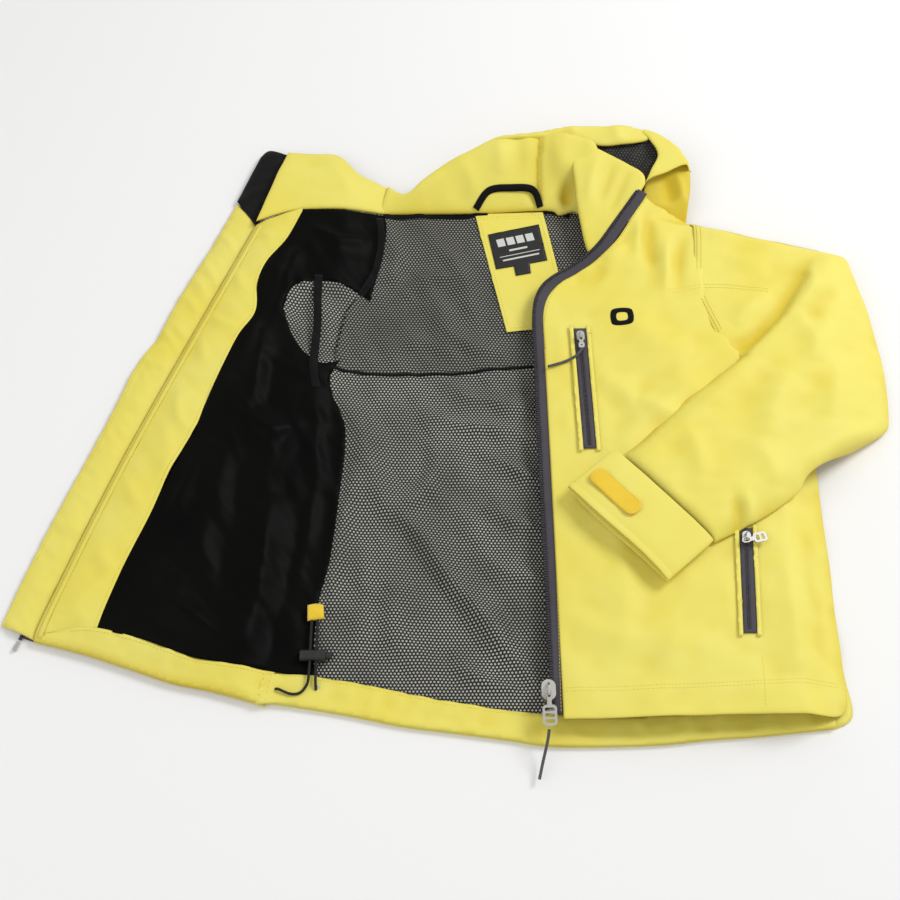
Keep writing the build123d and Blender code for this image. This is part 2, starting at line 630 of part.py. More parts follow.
def pull(name, pin, way, width, length, start, rungs):
    """A plain metal zip pull: an eye round the slider's post, a link and a ladder-shaped frame."""
    side = Vector(way[1], -way[0], 0).normalized()
    plane = Plane(origin=pin, x_dir=side, z_dir=side.cross(Vector(*way)))
    pitch = (length - 3) / rungs
    with BuildPart() as handle:
        with BuildSketch(plane.offset(-0.8)):
            with Locations((0, start + length / 2)):
                RectangleRounded(width, length, 0.27 * width)
            with Locations((0, (start + 6.4) / 2)):
                Rectangle(4, start - 4.4)
            with Locations((0, 2.1)):
                SlotOverall(8.6, 5.8, rotation=90)
                SlotOverall(6.2, 3.4, rotation=90, mode=Mode.SUBTRACT)
            with Locations(*[(0, start + 1.5 + pitch * (i + 0.5)) for i in range(rungs)]):
                SlotOverall(width - 4, pitch - 1.9, mode=Mode.SUBTRACT)
        extrude(amount=1.6)
    write(name, handle.part)


# Pockets
CHEST_TOP = (121.0, 84.0)
CHEST_LOW = (125.5, -58.0)
HAND_TOP = (269.5, -148.0)
HAND_LOW = (263.5, -256.0)
RIGHT_HAND_TOP = (-192.0, -122.0)
RIGHT_HAND_LOW = (-228.0, -230.0)
SLIDER_ROOM = 11.0  # from the top of a pocket's zip to the middle of its slider
POCKET_POST = 4.4
POCKET_TAPE = 14.0
COIL = 0.8
HAND_PULL_WAY = (0.976, 0.218, 0.0)


def pocket_way(top, low):
    """The direction down a pocket's zip."""
    run = math.dist(top, low)
    return ((low[0] - top[0]) / run, (low[1] - top[1]) / run)


def pocket_level(top, low, drape, facing):
    """The height of a pocket's zip tape, clear of the cloth it is sewn to."""
    way = pocket_way(top, low)
    side = (way[1], -way[0])
    steps = [math.dist(top, low) * share for share in (0, 0.25, 0.5, 0.75, 1)]
    heights = [drape.at(*along(top, way, step, side, across))
               for step in steps for across in (-POCKET_TAPE / 2, 0, POCKET_TAPE / 2)]
    if facing > 0:
        return max(heights) + CLOTH + 0.6
    return min(heights) - 0.6 - TAPE


def slider_base(top, low, drape, facing):
    """The height of the face of a pocket's slider that lies next to its coil."""
    level = pocket_level(top, low, drape, facing)
    return level + TAPE + COIL + 0.4 if facing > 0 else level - COIL - 0.4


def pocket_pin(top, low, drape, facing, reach):
    """A place on the middle of a pocket's slider, reach short of the post, level with its pull."""
    base = slider_base(top, low, drape, facing)
    place = along(top, pocket_way(top, low), SLIDER_ROOM + POCKET_POST - reach)
    return (*place, base + facing * (SLIDER_PLATE + PIN_RISE))


def build_pocket(name, top, low, drape, facing):
    """A pocket's zip tape with its coil, and the slider at its top end."""
    way = pocket_way(top, low)
    level = pocket_level(top, low, drape, facing)
    with BuildPart() as tape:
        with BuildSketch(Plane.XY.offset(level)):
            add(strip(POCKET_TAPE, top, low))
        extrude(amount=TAPE)
        with BuildSketch(Plane.XY.offset(level + (TAPE if facing > 0 else -COIL))):
            add(strip(4, along(top, way, 2), along(low, way, -4)))
        extrude(amount=COIL)
    write(f"{name}_zip_tape", tape.part)

    across = (-way[1] * facing, way[0] * facing, 0)
    base = (*along(top, way, SLIDER_ROOM), slider_base(top, low, drape, facing))
    plane = Plane(origin=base, x_dir=across, z_dir=(0, 0, facing))
    with BuildPart() as body:
        with BuildSketch(plane):
            SlotOverall(13, 8, rotation=90)
        extrude(amount=SLIDER_PLATE)
        extrude(to_extrude=bridge(plane, POCKET_POST, SLIDER_PLATE), amount=BRIDGE_WIDTH / 2, both=True)
    write(f"{name}_slider", body.part)


CHEST_CORD = [(121.9, 57.0, 30.0), (119.3, 51.2, 29.8), (113, 46.8, 28.2), (105, 43.2, 26.8), (96, 40.2, 26.2),
              (87, 37.6, 26.0)]


def build_pulls():
    """The pulls of the pockets' zips: a short link with a cord, and two ladder-shaped ones."""
    chest = (CHEST_TOP, CHEST_LOW, CLOSED_FRONT, 1)
    pull("chest_pull", pocket_pin(*chest, EYE_REACH), drooping(pocket_way(CHEST_TOP, CHEST_LOW)), 6, 6, 8, 1)
    cord_tube("chest_pull_cord", CHEST_CORD, PULL_CORD)
    left = pocket_pin(HAND_TOP, HAND_LOW, CLOSED_FRONT, 1, 0)
    left_pin = tuple(place - EYE_REACH * step for place, step in zip(left, HAND_PULL_WAY))
    pull("left_hand_pull", left_pin, HAND_PULL_WAY, 10, 13, 9, 2)
    right = (RIGHT_HAND_TOP, RIGHT_HAND_LOW, OPEN_FRONT, -1)
    right_way = (*pocket_way(RIGHT_HAND_TOP, RIGHT_HAND_LOW), 0.0)
    pull("right_hand_pull", pocket_pin(*right, EYE_REACH), right_way, 10, 13, 9, 2)


def build_bags():
    """The pocket bags: flat pouches between shell and lining, open towards their zips."""
    pouch("chest_pocket_bag", CLOSED_FRONT, -3.6, (131, 92), (210, -66))
    pouch("left_hand_pocket_bag", CLOSED_FRONT, -3.6, (256, -146), (176, -262))
    pouch("right_hand_pocket_bag", OPEN_FRONT, 1.6, (-232, -130), (-300, -232))


def pouch(name, drape, lift, near, far):
    """A flat pouch between two plan corners, open at the x of the near one."""
    inward = math.copysign(1.2, far[0] - near[0])
    outer = cut([near, (far[0], near[1])], [(far[0], near[1]), far], [far, (near[0], far[1])],
                [(near[0], far[1]), near])
    inside = (near[0] - 3 * inward, near[1] - 1.2)
    end = (far[0] - inward, far[1] + 1.2)
    hollow = cut([inside, (end[0], inside[1])], [(end[0], inside[1]), end], [end, (inside[0], end[1])],
                 [(inside[0], end[1]), inside])
    with BuildPart() as bag:
        add(sheet(drape, outer, 2.2, lift))
        add(sheet(drape, hollow, 1.0, lift + 0.6), mode=Mode.SUBTRACT)
    write(name, bag.part)


# Left sleeve
def build_left_sleeve():
    """The left sleeve, bent over the chest, with its cuff and loop patch."""
    crease = [CREASE_LOW, (175, -53), (222, -5), (277, 40), (326, 94), (357, 147)]
    outer = [(419, 147), (425, 121), (430, 81), (433, 40), (431, -6), (426, -24), (409, -38)]
    lower = [(409, -38), (341, -84), (322, -110), (286, -138), (238, -165)]
    forearm = cut(crease, [(357, 147), (419, 147)], outer, lower, [(238, -165), (153, -70)])
    cap = cut([(248, 231), (248, 204), (242, 137), (245, 117), (263, 70)], [(263, 70), (292, 66)],
              [(292, 66), (324, 98), (352, 150)], [(352, 150), (417, 150)], [(417, 150), (408, 185)],
              [(408, 185), (398, 195), (365, 205), (326, 217), (276, 229), (248, 232)],
              [(248, 232), (248, 231)])
    lower_arm = sheet(SLEEVE_OVER, forearm)
    upper_arm = sheet(SLEEVE_CAP, cap)
    write("left_sleeve_top", Compound(children=[*lower_arm.solids(), *upper_arm.solids()]))

    inset = [(x + 1, y - 1) for x, y in crease]
    under = cut(inset, [inset[-1], (417, 146)], [(417, 146), (428, 81), (431, 40), (429, -6), (408, -36)],
                [(408, -36), (341, -82), (322, -108), (286, -136), (239, -163)], [(239, -163), inset[0]])
    write("left_sleeve_under", sheet(SLEEVE_UNDER, under, 1.0))
    cuff_ring("left_cuff", FOREARM_CUFF, FOREARM_SIDE, FOREARM_WAY, CUFF_HALF, 30, CUFF_HEIGHT)

    patch_middle = along(FOREARM_CUFF, FOREARM_WAY, 27, FOREARM_SIDE, -30)
    with BuildPart() as patch:
        with BuildSketch(Plane(origin=(*patch_middle, 30.2 + CUFF_HEIGHT), x_dir=(*FOREARM_SIDE, 0))):
            RectangleRounded(58, 17, 7)
        extrude(amount=0.9)
    write("cuff_loop_patch", patch.part)


# Collar and hood
def build_collar_and_hood():
    """The collar round the neck, and the hood that lies folded back behind it."""
    neck = [(fold_x(254, FOLD_GAP), 254), (15, 252), (100, 254)]
    crest = [(118, 316), (86, 324), (44, 324), (7, 309), (-17, 300), (-41, 285), (-60, 274), (-77, 286)]
    back = cut(neck, [(100, 254), (118, 316)], crest, [(-77, 286), (fold_x(254, FOLD_GAP), 254)])
    write("back_collar", sheet(BACK_COLLAR, back, 1.6))
    left = cut([(122, 318), (121, 280), (123, 242), (131, 197), (140, 183)],
               [(140, 183), (147, 192), (167, 222), (187, 249), (193, 256)],
               [(193, 256), (199, 267), (193, 278), (179, 288), (150, 307), (122, 318)])
    write("left_collar", sheet(LEFT_COLLAR, left, 1.6))

    outer = [(66, 342), (90, 347), (114, 353), (151, 356), (186, 355), (205, 347), (226, 332), (248, 308),
             (250, 292), (245, 266)]
    inner = [(217, 272), (212, 282), (217, 299), (208, 318), (176, 317), (150, 324), (120, 336), (66, 340)]
    crown = cut(outer, [(245, 266), (217, 272)], inner, [(66, 340), (66, 342)])
    write("hood_crown", sheet(HOOD, crown, 1.6))
    lining = cut([(90, 336), (150, 346), (200, 338), (232, 308), (236, 284)], [(236, 284), (214, 276)],
                 [(214, 276), (198, 286), (154, 315), (122, 331), (90, 336)])
    flat("hood_lining", lining, 5.0, NET)
    brim = cut([(212, 320), (224, 328), (238, 312), (244, 300)], [(244, 300), (219, 286)],
               [(219, 286), (221, 300), (212, 320)])
    write("hood_brim", sheet(HOOD, brim, 2.0, 1.9))


build_back()
build_hanger()
build_hem_cord()
build_open_front()
build_hidden_sleeve()
build_left_front()
build_main_zip()
build_pocket("chest", CHEST_TOP, CHEST_LOW, CLOSED_FRONT, 1)
build_pocket("left_hand", HAND_TOP, HAND_LOW, CLOSED_FRONT, 1)
build_pocket("right_hand", RIGHT_HAND_TOP, RIGHT_HAND_LOW, OPEN_FRONT, -1)
build_pulls()
build_bags()
build_left_sleeve()
build_collar_and_hood()
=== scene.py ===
"""Looks for the hardshell jacket: cloth, linings, zips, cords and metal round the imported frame.

Plan outlines are in millimetres, +X the wearer's left and +Y from hem to hood, as the frame has them.
"""

import math

import bpy
import numpy as np
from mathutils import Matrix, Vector, geometry, noise


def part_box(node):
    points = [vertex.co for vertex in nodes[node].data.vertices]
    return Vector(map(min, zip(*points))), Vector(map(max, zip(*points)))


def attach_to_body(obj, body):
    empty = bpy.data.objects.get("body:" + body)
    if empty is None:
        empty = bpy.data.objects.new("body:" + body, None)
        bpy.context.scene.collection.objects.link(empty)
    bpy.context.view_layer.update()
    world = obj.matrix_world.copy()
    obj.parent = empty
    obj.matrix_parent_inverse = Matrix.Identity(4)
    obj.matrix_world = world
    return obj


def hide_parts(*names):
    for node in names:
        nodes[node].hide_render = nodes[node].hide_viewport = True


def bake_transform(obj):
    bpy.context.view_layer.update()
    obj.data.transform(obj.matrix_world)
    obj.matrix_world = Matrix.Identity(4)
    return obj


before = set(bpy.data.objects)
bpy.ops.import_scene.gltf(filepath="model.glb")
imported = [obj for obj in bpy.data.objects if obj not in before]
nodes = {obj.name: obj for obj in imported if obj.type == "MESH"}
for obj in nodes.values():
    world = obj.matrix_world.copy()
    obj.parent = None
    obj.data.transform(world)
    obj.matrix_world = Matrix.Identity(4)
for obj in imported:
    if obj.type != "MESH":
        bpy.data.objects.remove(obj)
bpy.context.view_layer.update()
MM = 0.001


def top_of(node):
    """The highest point of a CAD node, in millimetres."""
    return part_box(node)[1].z / MM


def middle_of(node):
    """The middle of a CAD node's box, in metres."""
    low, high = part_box(node)
    return (low + high) / 2


# Camera
CAMERA_DISTANCE = 1.6
CAMERA_ELEVATION = math.radians(60)
CAMERA_TARGET = Vector((-0.012, -0.045, 0))
CAMERA_LENS = 64
SENSOR_WIDTH = 36


def build_camera():
    """Looks down at the jacket from its hem's side."""
    back = Vector((0, -math.cos(CAMERA_ELEVATION), math.sin(CAMERA_ELEVATION)))
    data = bpy.data.cameras.new("camera")
    data.sensor_width = SENSOR_WIDTH
    data.lens = CAMERA_LENS
    camera = bpy.data.objects.new("camera", data)
    camera.location = CAMERA_TARGET + back * CAMERA_DISTANCE
    camera.rotation_mode = "QUATERNION"
    camera.rotation_quaternion = (-back).to_track_quat("-Z", "Y")
    bpy.context.scene.collection.objects.link(camera)
    bpy.context.scene.camera = camera


build_camera()


# Materials
def material(name, colour, roughness=0.6):
    """A new material with its Principled shader's plain values set."""
    made = bpy.data.materials.new(name)
    made.use_nodes = True
    shader = made.node_tree.nodes["Principled BSDF"]
    shader.inputs["Base Color"].default_value = (*colour, 1)
    shader.inputs["Roughness"].default_value = roughness
    return made


class Graph:
    """Short calls for adding shader nodes to one material."""

    def __init__(self, made):
        self.tree = made.node_tree
        self.shader = self.tree.nodes["Principled BSDF"]

    def node(self, kind, **settings):
        made = self.tree.nodes.new(kind)
        for key, value in settings.items():
            setattr(made, key, value)
        return made

    def link(self, source, target):
        self.tree.links.new(source, target)

    def scaled(self, place, scale):
        mapping = self.node("ShaderNodeMapping")
        mapping.inputs["Scale"].default_value = (scale, scale, scale)
        self.link(place, mapping.inputs["Vector"])
        return mapping.outputs["Vector"]

    def uv(self, scale):
        """Plan coordinates times scale per metre."""
        return self.scaled(self.node("ShaderNodeUVMap", uv_map="plan").outputs["UV"], scale)

    def local(self, scale):
        """Object coordinates times scale per metre."""
        return self.scaled(self.node("ShaderNodeTexCoord").outputs["Object"], scale)

    def math(self, operation, a, b=0.0, c=None):
        made = self.node("ShaderNodeMath", operation=operation)
        for socket, value in zip(made.inputs, (a, b, c)):
            if value is None:
                continue
            if isinstance(value, (int, float)):
                socket.default_value = value
            else:
                self.link(value, socket)
        return made.outputs[0]

    def noise(self, vector, scale, detail=2.0, roughness=0.5):
        made = self.node("ShaderNodeTexNoise")
        made.inputs["Scale"].default_value = scale
        made.inputs["Detail"].default_value = detail
        made.inputs["Roughness"].default_value = roughness
        self.link(vector, made.inputs["Vector"])
        return made.outputs["Fac"]

    def ramp(self, value, *stops):
        """Colours at places from 0 to 1."""
        made = self.node("ShaderNodeValToRGB")
        elements = made.color_ramp.elements
        while len(elements) < len(stops):
            elements.new(0.5)
        for element, (place, colour) in zip(elements, stops):
            element.position = place
            element.color = (*colour, 1)
        self.link(value, made.inputs["Fac"])
        return made.outputs["Color"]

    def mix(self, share, a, b, blend="MIX"):
        made = self.node("ShaderNodeMix", data_type="RGBA", blend_type=blend)
        for socket, value in ((made.inputs[0], share), (made.inputs[6], a), (made.inputs[7], b)):
            if isinstance(value, tuple):
                socket.default_value = (*value, 1)
            elif isinstance(value, float):
                socket.default_value = value
            else:
                self.link(value, socket)
        return made.outputs[2]

    def bump(self, height, strength, distance, after=None):
        made = self.node("ShaderNodeBump")
        made.inputs["Strength"].default_value = strength
        made.inputs["Distance"].default_value = distance
        self.link(height, made.inputs["Height"])
        if after is not None:
            self.link(after, made.inputs["Normal"])
        return made.outputs["Normal"]

    def weave(self, vector):
        """Threads over and under each other, one of each per unit."""
        parts = self.node("ShaderNodeSeparateXYZ")
        self.link(vector, parts.inputs["Vector"])
        across = self.math("SINE", self.math("MULTIPLY", parts.outputs["X"], 2 * math.pi))
        down = self.math("SINE", self.math("MULTIPLY", parts.outputs["Y"], 2 * math.pi))
        return self.math("MULTIPLY_ADD", across, down, 0.5)

    def finish(self, colour=None, roughness=None, normal=None):
        for name, value in (("Base Color", colour), ("Roughness", roughness), ("Normal", normal)):
            if value is not None:
                self.link(value, self.shader.inputs[name])


def tint(colour, factor):
    """A colour made paler or darker."""
    return tuple(min(1.0, part * factor) for part in colour)


def grey(level):
    return (level, level, level)


def woven_material(name, colour, deep, threads, roughness, sheen=0.0, weave_depth=0.0001, hollow_shade=None):
    """Cloth: a fine weave, softly mottled colour, faint crushed marks, and painted shade: a deeper colour in
    its hollows, where shade falls.
    """
    made = material(name, colour, roughness)
    graph = Graph(made)
    plan = graph.uv(1.0)
    mottle = graph.noise(plan, 9.0, 3.0)
    fine = graph.noise(plan, 420.0, 2.0)
    shade = graph.ramp(mottle, (0.3, deep), (0.62, colour))
    if hollow_shade is not None:
        # painted shade: a per-vertex share mixes the shade colour into the cloth's hollows
        shade_share = graph.node("ShaderNodeAttribute", attribute_name="hollow_shade")
        shade = graph.mix(shade_share.outputs["Fac"], shade, hollow_shade)
    flecked = graph.mix(graph.math("MULTIPLY", fine, 0.1), shade, tint(colour, 0.72))
    threads_up = graph.weave(graph.uv(threads))
    normal = graph.bump(threads_up, 0.25, weave_depth)
    crushed = graph.noise(plan, 48.0, 4.0, 0.6)
    normal = graph.bump(crushed, 0.22, 0.0011, normal)
    rough = graph.math("MULTIPLY_ADD", graph.noise(plan, 30.0), 0.16, roughness - 0.08)
    graph.finish(flecked, rough, normal)
    graph.shader.inputs["Sheen Weight"].default_value = sheen
    graph.shader.inputs["Sheen Roughness"].default_value = 0.45
    return made


LEMON = (0.84, 0.75, 0.145)
LEMON_DEEP = (0.82, 0.70, 0.085)
# painted shade: the mustard that the shell cloth turns in its hollows and shaded places
SHADE_MUSTARD = (0.70, 0.52, 0.012)
shell_cloth = woven_material("shell_cloth", LEMON, LEMON_DEEP, 900.0, 0.62, 0.12, hollow_shade=SHADE_MUSTARD)
shell_cloth.node_tree.nodes["Principled BSDF"].inputs["Sheen Tint"].default_value = (1, 0.95, 0.6, 1)
patch_cloth = woven_material("patch_cloth", (0.87, 0.60, 0.03), (0.80, 0.52, 0.02), 700.0, 0.8, 0.35, 0.0003)
black_taffeta = woven_material("black_taffeta", (0.0035, 0.0035, 0.003), grey(0.002), 1100.0, 0.42)
black_tape = woven_material("black_tape", grey(0.008), grey(0.005), 500.0, 0.75, 0.1, 0.0003)
guard_cloth = woven_material("guard_cloth", grey(0.009), grey(0.006), 420.0, 0.95, 0.25, 0.0005)
for dark_cloth, level in ((black_taffeta, 0.04), (black_tape, 0.06), (guard_cloth, 0.04)):
    dark_cloth.node_tree.nodes["Principled BSDF"].inputs["Specular IOR Level"].default_value = level
zip_tape = woven_material("zip_tape", (0.062, 0.055, 0.068), (0.045, 0.04, 0.05), 620.0, 0.75, 0.15, 0.0003)
stitch_thread = woven_material("stitch_thread", (0.80, 0.66, 0.10), (0.74, 0.58, 0.07), 2500.0, 0.6, 0.0,
                               0.0001)

NET_PITCH = 3.5  # between the holes of a row


def net_material(name, thread, hole, hole_size):
    """Mesh lining: round holes in staggered rows through dark knitted cloth, pale where light comes up."""
    made = material(name, thread, 0.8)
    graph = Graph(made)
    parts = graph.node("ShaderNodeSeparateXYZ")
    graph.link(graph.uv(1 / (NET_PITCH * MM)), parts.inputs["Vector"])
    row = math.sqrt(3)
    distances = []
    for shift in (0.0, 0.5):
        u = graph.math("SUBTRACT", graph.math("FRACT", graph.math("ADD", parts.outputs["X"], shift)), 0.5)
        v = graph.math("DIVIDE", parts.outputs["Y"], row)
        v = graph.math("SUBTRACT", graph.math("FRACT", graph.math("ADD", v, shift)), 0.5)
        v = graph.math("MULTIPLY", v, row)
        squares = graph.math("ADD", graph.math("MULTIPLY", u, u), graph.math("MULTIPLY", v, v))
        distances.append(graph.math("SQRT", squares))
    distance = graph.math("MINIMUM", *distances)
    fine = graph.noise(graph.uv(1.0), 700.0, 2.0)
    size = graph.math("MULTIPLY_ADD", fine, 0.08, hole_size - 0.04)
    open_share = graph.math("SMOOTH_MAX", graph.math("SUBTRACT", size, distance), 0.0, 0.02)
    mask = graph.math("MINIMUM", graph.math("MULTIPLY", open_share, 14.0), 1.0)
    mottle = graph.noise(graph.uv(1.0), 14.0, 2.0)
    backing = graph.ramp(mottle, (0.3, tint(hole, 0.6)), (0.7, hole))
    graph.finish(graph.mix(mask, thread, backing), None, graph.bump(distance, 0.5, 0.0008))
    return made


mesh_cloth = net_material("mesh_cloth", (0.008, 0.008, 0.007), (0.50, 0.50, 0.44), 0.32)
# painted shade: the yoke's copy of the mesh has darker holes, as if the yoke lay deeper in shade
shaded_yoke_mesh = net_material("shaded_yoke_mesh", (0.008, 0.008, 0.007), (0.36, 0.36, 0.315), 0.315)
dark_mesh = net_material("dark_mesh", (0.008, 0.008, 0.008), (0.085, 0.085, 0.075), 0.28)


def metal_material(name, colour, roughness):
    """Cast zinc: fine grain, small scratches and brighter rubbed edges."""
    made = material(name, colour, roughness)
    graph = Graph(made)
    graph.shader.inputs["Metallic"].default_value = 1.0
    place = graph.local(1.0)
    grain = graph.noise(place, 1500.0, 3.0)
    scratches = graph.noise(place, 260.0, 5.0, 0.7)
    worn = graph.node("ShaderNodeNewGeometry").outputs["Pointiness"]
    edge = graph.ramp(worn, (0.49, tint(colour, 0.85)), (0.54, tint(colour, 1.35)))
    colour_out = graph.mix(graph.math("MULTIPLY", scratches, 0.35), edge, tint(colour, 0.6))
    rough = graph.math("MULTIPLY_ADD", scratches, 0.25, roughness - 0.1)
    graph.finish(colour_out, rough, graph.bump(grain, 0.2, 0.0001))
    return made


grey_metal = metal_material("grey_metal", (0.50, 0.49, 0.46), 0.36)
eyelet_metal = metal_material("eyelet_metal", (0.66, 0.65, 0.62), 0.25)
spring_metal = metal_material("spring_metal", grey(0.6), 0.25)


def tooth_material():
    """The grey moulded plastic of the zips' teeth, a little mottled."""
    made = material("tooth_grey", (0.035, 0.032, 0.038), 0.42)
    graph = Graph(made)
    mottle = graph.noise(graph.local(1.0), 300.0)
    shade = graph.ramp(mottle, (0.3, (0.03, 0.028, 0.033)), (0.7, (0.06, 0.055, 0.065)))
    grain = graph.noise(graph.local(1.0), 900.0)
    graph.finish(shade, None, graph.bump(grain, 0.2, 0.0001))
    return made


tooth_grey = tooth_material()


def plastic_material(name, colour):
    """Moulded plastic with a fine spark-eroded grain."""
    made = material(name, colour, 0.45)
    graph = Graph(made)
    place = graph.local(1.0)
    grain = graph.noise(place, 1100.0, 3.0)
    rubbed = graph.noise(place, 120.0, 3.0)
    graph.finish(graph.ramp(rubbed, (0.35, colour), (0.75, tint(colour, 1.8))),
                 graph.math("MULTIPLY_ADD", rubbed, 0.2, 0.35), graph.bump(grain, 0.3, 0.00015))
    return made


black_plastic = plastic_material("black_plastic", (0.012, 0.012, 0.013))


def braid_material(name, colour, fleck):
    """Braided cord: strands crossing both ways round it."""
    made = material(name, colour, 0.75)
    graph = Graph(made)
    place = graph.local(1.0)
    parts = graph.node("ShaderNodeSeparateXYZ")
    graph.link(place, parts.inputs["Vector"])
    along = graph.math("MULTIPLY", graph.math("ADD", parts.outputs["Y"], parts.outputs["Z"]), 4200.0)
    across = graph.math("MULTIPLY", parts.outputs["X"], 4200.0)
    one = graph.math("SINE", graph.math("ADD", along, across))
    two = graph.math("SINE", graph.math("SUBTRACT", along, across))
    braid = graph.math("MULTIPLY", one, two)
    graph.finish(graph.ramp(graph.math("MULTIPLY_ADD", braid, 0.5, 0.5), (0.35, colour), (0.8, fleck)), None,
                 graph.bump(braid, 0.6, 0.0004))
    return made


black_braid = braid_material("black_braid", grey(0.006), grey(0.02))
grey_braid = braid_material("grey_braid", (0.015, 0.015, 0.016), grey(0.22))


# Heights of the cloth, the same slopes as the frame's solids stand on
class Slope:
    """A sloping plane: its height at one plan point, and how it rises in one plan direction."""

    def __init__(self, point, towards, start, gradient):
        length = math.hypot(*towards)
        self.point = point
        self.rise = (towards[0] / length * gradient, towards[1] / length * gradient)
        self.start = start

    def at(self, x, y):
        return self.start + (x - self.point[0]) * self.rise[0] + (y - self.point[1]) * self.rise[1]


class Drape:
    """Cloth that lies level at its top and falls along slopes, rounded where they meet."""

    def __init__(self, top, *slopes, floor=0.0, soft=3.0):
        self.top = top
        self.slopes = slopes
        self.floor = floor
        self.soft = soft

    def at(self, x, y):
        low = np.full(np.shape(x), float(self.top))
        for slope in self.slopes:
            low = -self.soft * np.logaddexp(-low / self.soft, -slope.at(x, y) / self.soft)
        return np.maximum(self.floor, low)


def raised(height, lift):
    """Heights a given lift above others."""
    return lambda x, y: height(x, y) + lift


def level_at(level):
    """The same height everywhere."""
    return lambda x, y: level + 0 * x


def normal(start, end):
    """The direction to the left of the line from start to end."""
    return (start[1] - end[1], end[0] - start[0])


FOLD_LOW = (-190.0, -330.0)
FOLD_HIGH = (-86.0, 250.0)
SEAM = [(-400, -251), (-333, -50), (-221, 230)]
OPEN_FRONT = Drape(
    14.5,
    Slope((-409.4, -247.5), normal(SEAM[2], SEAM[0]), 1.5, 0.42),
    Slope(FOLD_LOW, normal(FOLD_LOW, FOLD_HIGH), 1.5, 0.4),
    Slope((-188, -314), normal((-400, -254), (-188, -314)), 1.5, 0.4),
    floor=1.5,
)
SHOULDER_SLOPE = Slope((240, 238), (-0.2665, -0.9638), 2.5, 1.1)
CLOSED_FRONT = Drape(
    27.3,
    Slope((85, 0), (1, 0), 21.3, 0.05),
    Slope((352, 0), (-1, 0), 2.5, 0.6),
    SHOULDER_SLOPE,
    floor=2.5,
    soft=1.5,
)
SLEEVE_CAP = Drape(
    27.3,
    Slope((430, 0), (-1, 0), 2.5, 0.6),
    SHOULDER_SLOPE,
    floor=2.5,
    soft=1.5,
)
SLEEVE_UNDER = Drape(30.8, Slope((85, 0), (1, 0), 24.8, 0.05), Slope((386, 0), (-1, 0), 1.5, 0.75), floor=1.5)
SLEEVE_OVER = Drape(
    43.0,
    Slope((153, -70), (0.729, -0.685), 32.3, 0.5),
    Slope((242, -171), (-0.596, 0.803), 32.3, 0.5),
    Slope((436, 0), (-1, 0), 4.0, 0.6),
    floor=4.0,
)
BACK_COLLAR = Drape(43.0, Slope((0, 252), (0, 1), 9.5, 0.5), Slope((-88, 0), (1, 0), 10.0, 0.26), floor=7.0)
LEFT_COLLAR = Drape(43.0, Slope((140, 185), (0.564, 0.826), 22.5, 0.215))
RIGHT_COLLAR = Drape(12.0, Slope((0, 345), (0, -1), 4.0, 0.2),
                     Slope(FOLD_LOW, normal(FOLD_LOW, FOLD_HIGH), 4.0, 0.3), floor=4.0)


# Plan geometry
def spline(points, step):
    """A smooth line through plan points, a point about every step."""
    padded = [points[0], *points, points[-1]]
    line = []
    for p0, p1, p2, p3 in zip(padded, padded[1:], padded[2:], padded[3:]):
        p0, p1, p2, p3 = (np.array(p, float) for p in (p0, p1, p2, p3))
        count = max(1, round(np.linalg.norm(p2 - p1) / step))
        for i in range(count):
            t = i / count
            line.append(0.5 * (2 * p1 + (p2 - p0) * t + (2 * p0 - 5 * p1 + 4 * p2 - p3) * t * t
                               + (3 * p1 - p0 - 3 * p2 + p3) * t ** 3))
    line.append(np.array(points[-1], float))
    return line


def lengths_along(line):
    """How far along a line each of its points is."""
    return np.concatenate([[0], np.cumsum(np.linalg.norm(np.diff(line, axis=0), axis=1))])


def to_left(line):
    """The direction to a line's left at each of its points."""
    way = np.gradient(line, axis=0)
    way /= np.linalg.norm(way, axis=1, keepdims=True)
    return np.column_stack([-way[:, 1], way[:, 0]])


def outline(*stretches, step=4.0):
    """A closed outline of stretches: two points are a straight edge, and more are a curve."""
    line = []
    for stretch, following in zip(stretches, [*stretches[1:], stretches[0]]):
        for points in (stretch, (stretch[-1], following[0])):
            if len(points) > 1 and math.dist(points[0], points[-1]) + len(points) - 2 > 0.01:
                line += spline(points, step)[:-1]
    return np.array(line)


def polygon(*corners, step):
    """A closed outline with straight edges between its corners."""
    return outline(*zip(corners, corners[1:] + corners[:1]), step=step)


def inside(points, loop):
    """Which plan points are inside a closed outline."""
    x, y = points[:, 0], points[:, 1]
    hit = np.zeros(len(points), bool)
    for a, b in zip(loop, np.roll(loop, -1, 0)):
        crosses = (a[1] > y) != (b[1] > y)
        with np.errstate(divide="ignore", invalid="ignore"):
            hit ^= crosses & (x < (b[0] - a[0]) * (y - a[1]) / (b[1] - a[1]) + a[0])
    return hit


def to_line(x, y, path):
    """Distance to a line of plan points, share along it, and which side: plus is on its left."""
    best = np.full(np.shape(x), 1e9)
    share = np.zeros(np.shape(x))
    side = np.zeros(np.shape(x))
    path = np.array(path, float)
    lengths = np.linalg.norm(np.diff(path, axis=0), axis=1)
    total = lengths.sum()
    done = 0.0
    for a, b, length in zip(path, path[1:], lengths):
        if length < 1e-9:
            continue
        along = (b - a) / length
        s = np.clip((x - a[0]) * along[0] + (y - a[1]) * along[1], 0, length)
        dx, dy = x - a[0] - s * along[0], y - a[1] - s * along[1]
        distance = np.hypot(dx, dy)
        nearer = distance < best
        best = np.where(nearer, distance, best)
        share = np.where(nearer, (done + s) / total, share)
        side = np.where(nearer, np.sign(along[0] * dy - along[1] * dx), side)
        done += length
    return best, share, side


def to_edge(x, y, loop):
    """Distance to a closed outline."""
    return to_line(x, y, np.vstack([loop, loop[:1]]))[0]


def ease(value):
    """0 below 0, 1 above 1 and smooth between."""
    share = np.clip(value, 0, 1)
    return share * share * (3 - 2 * share)


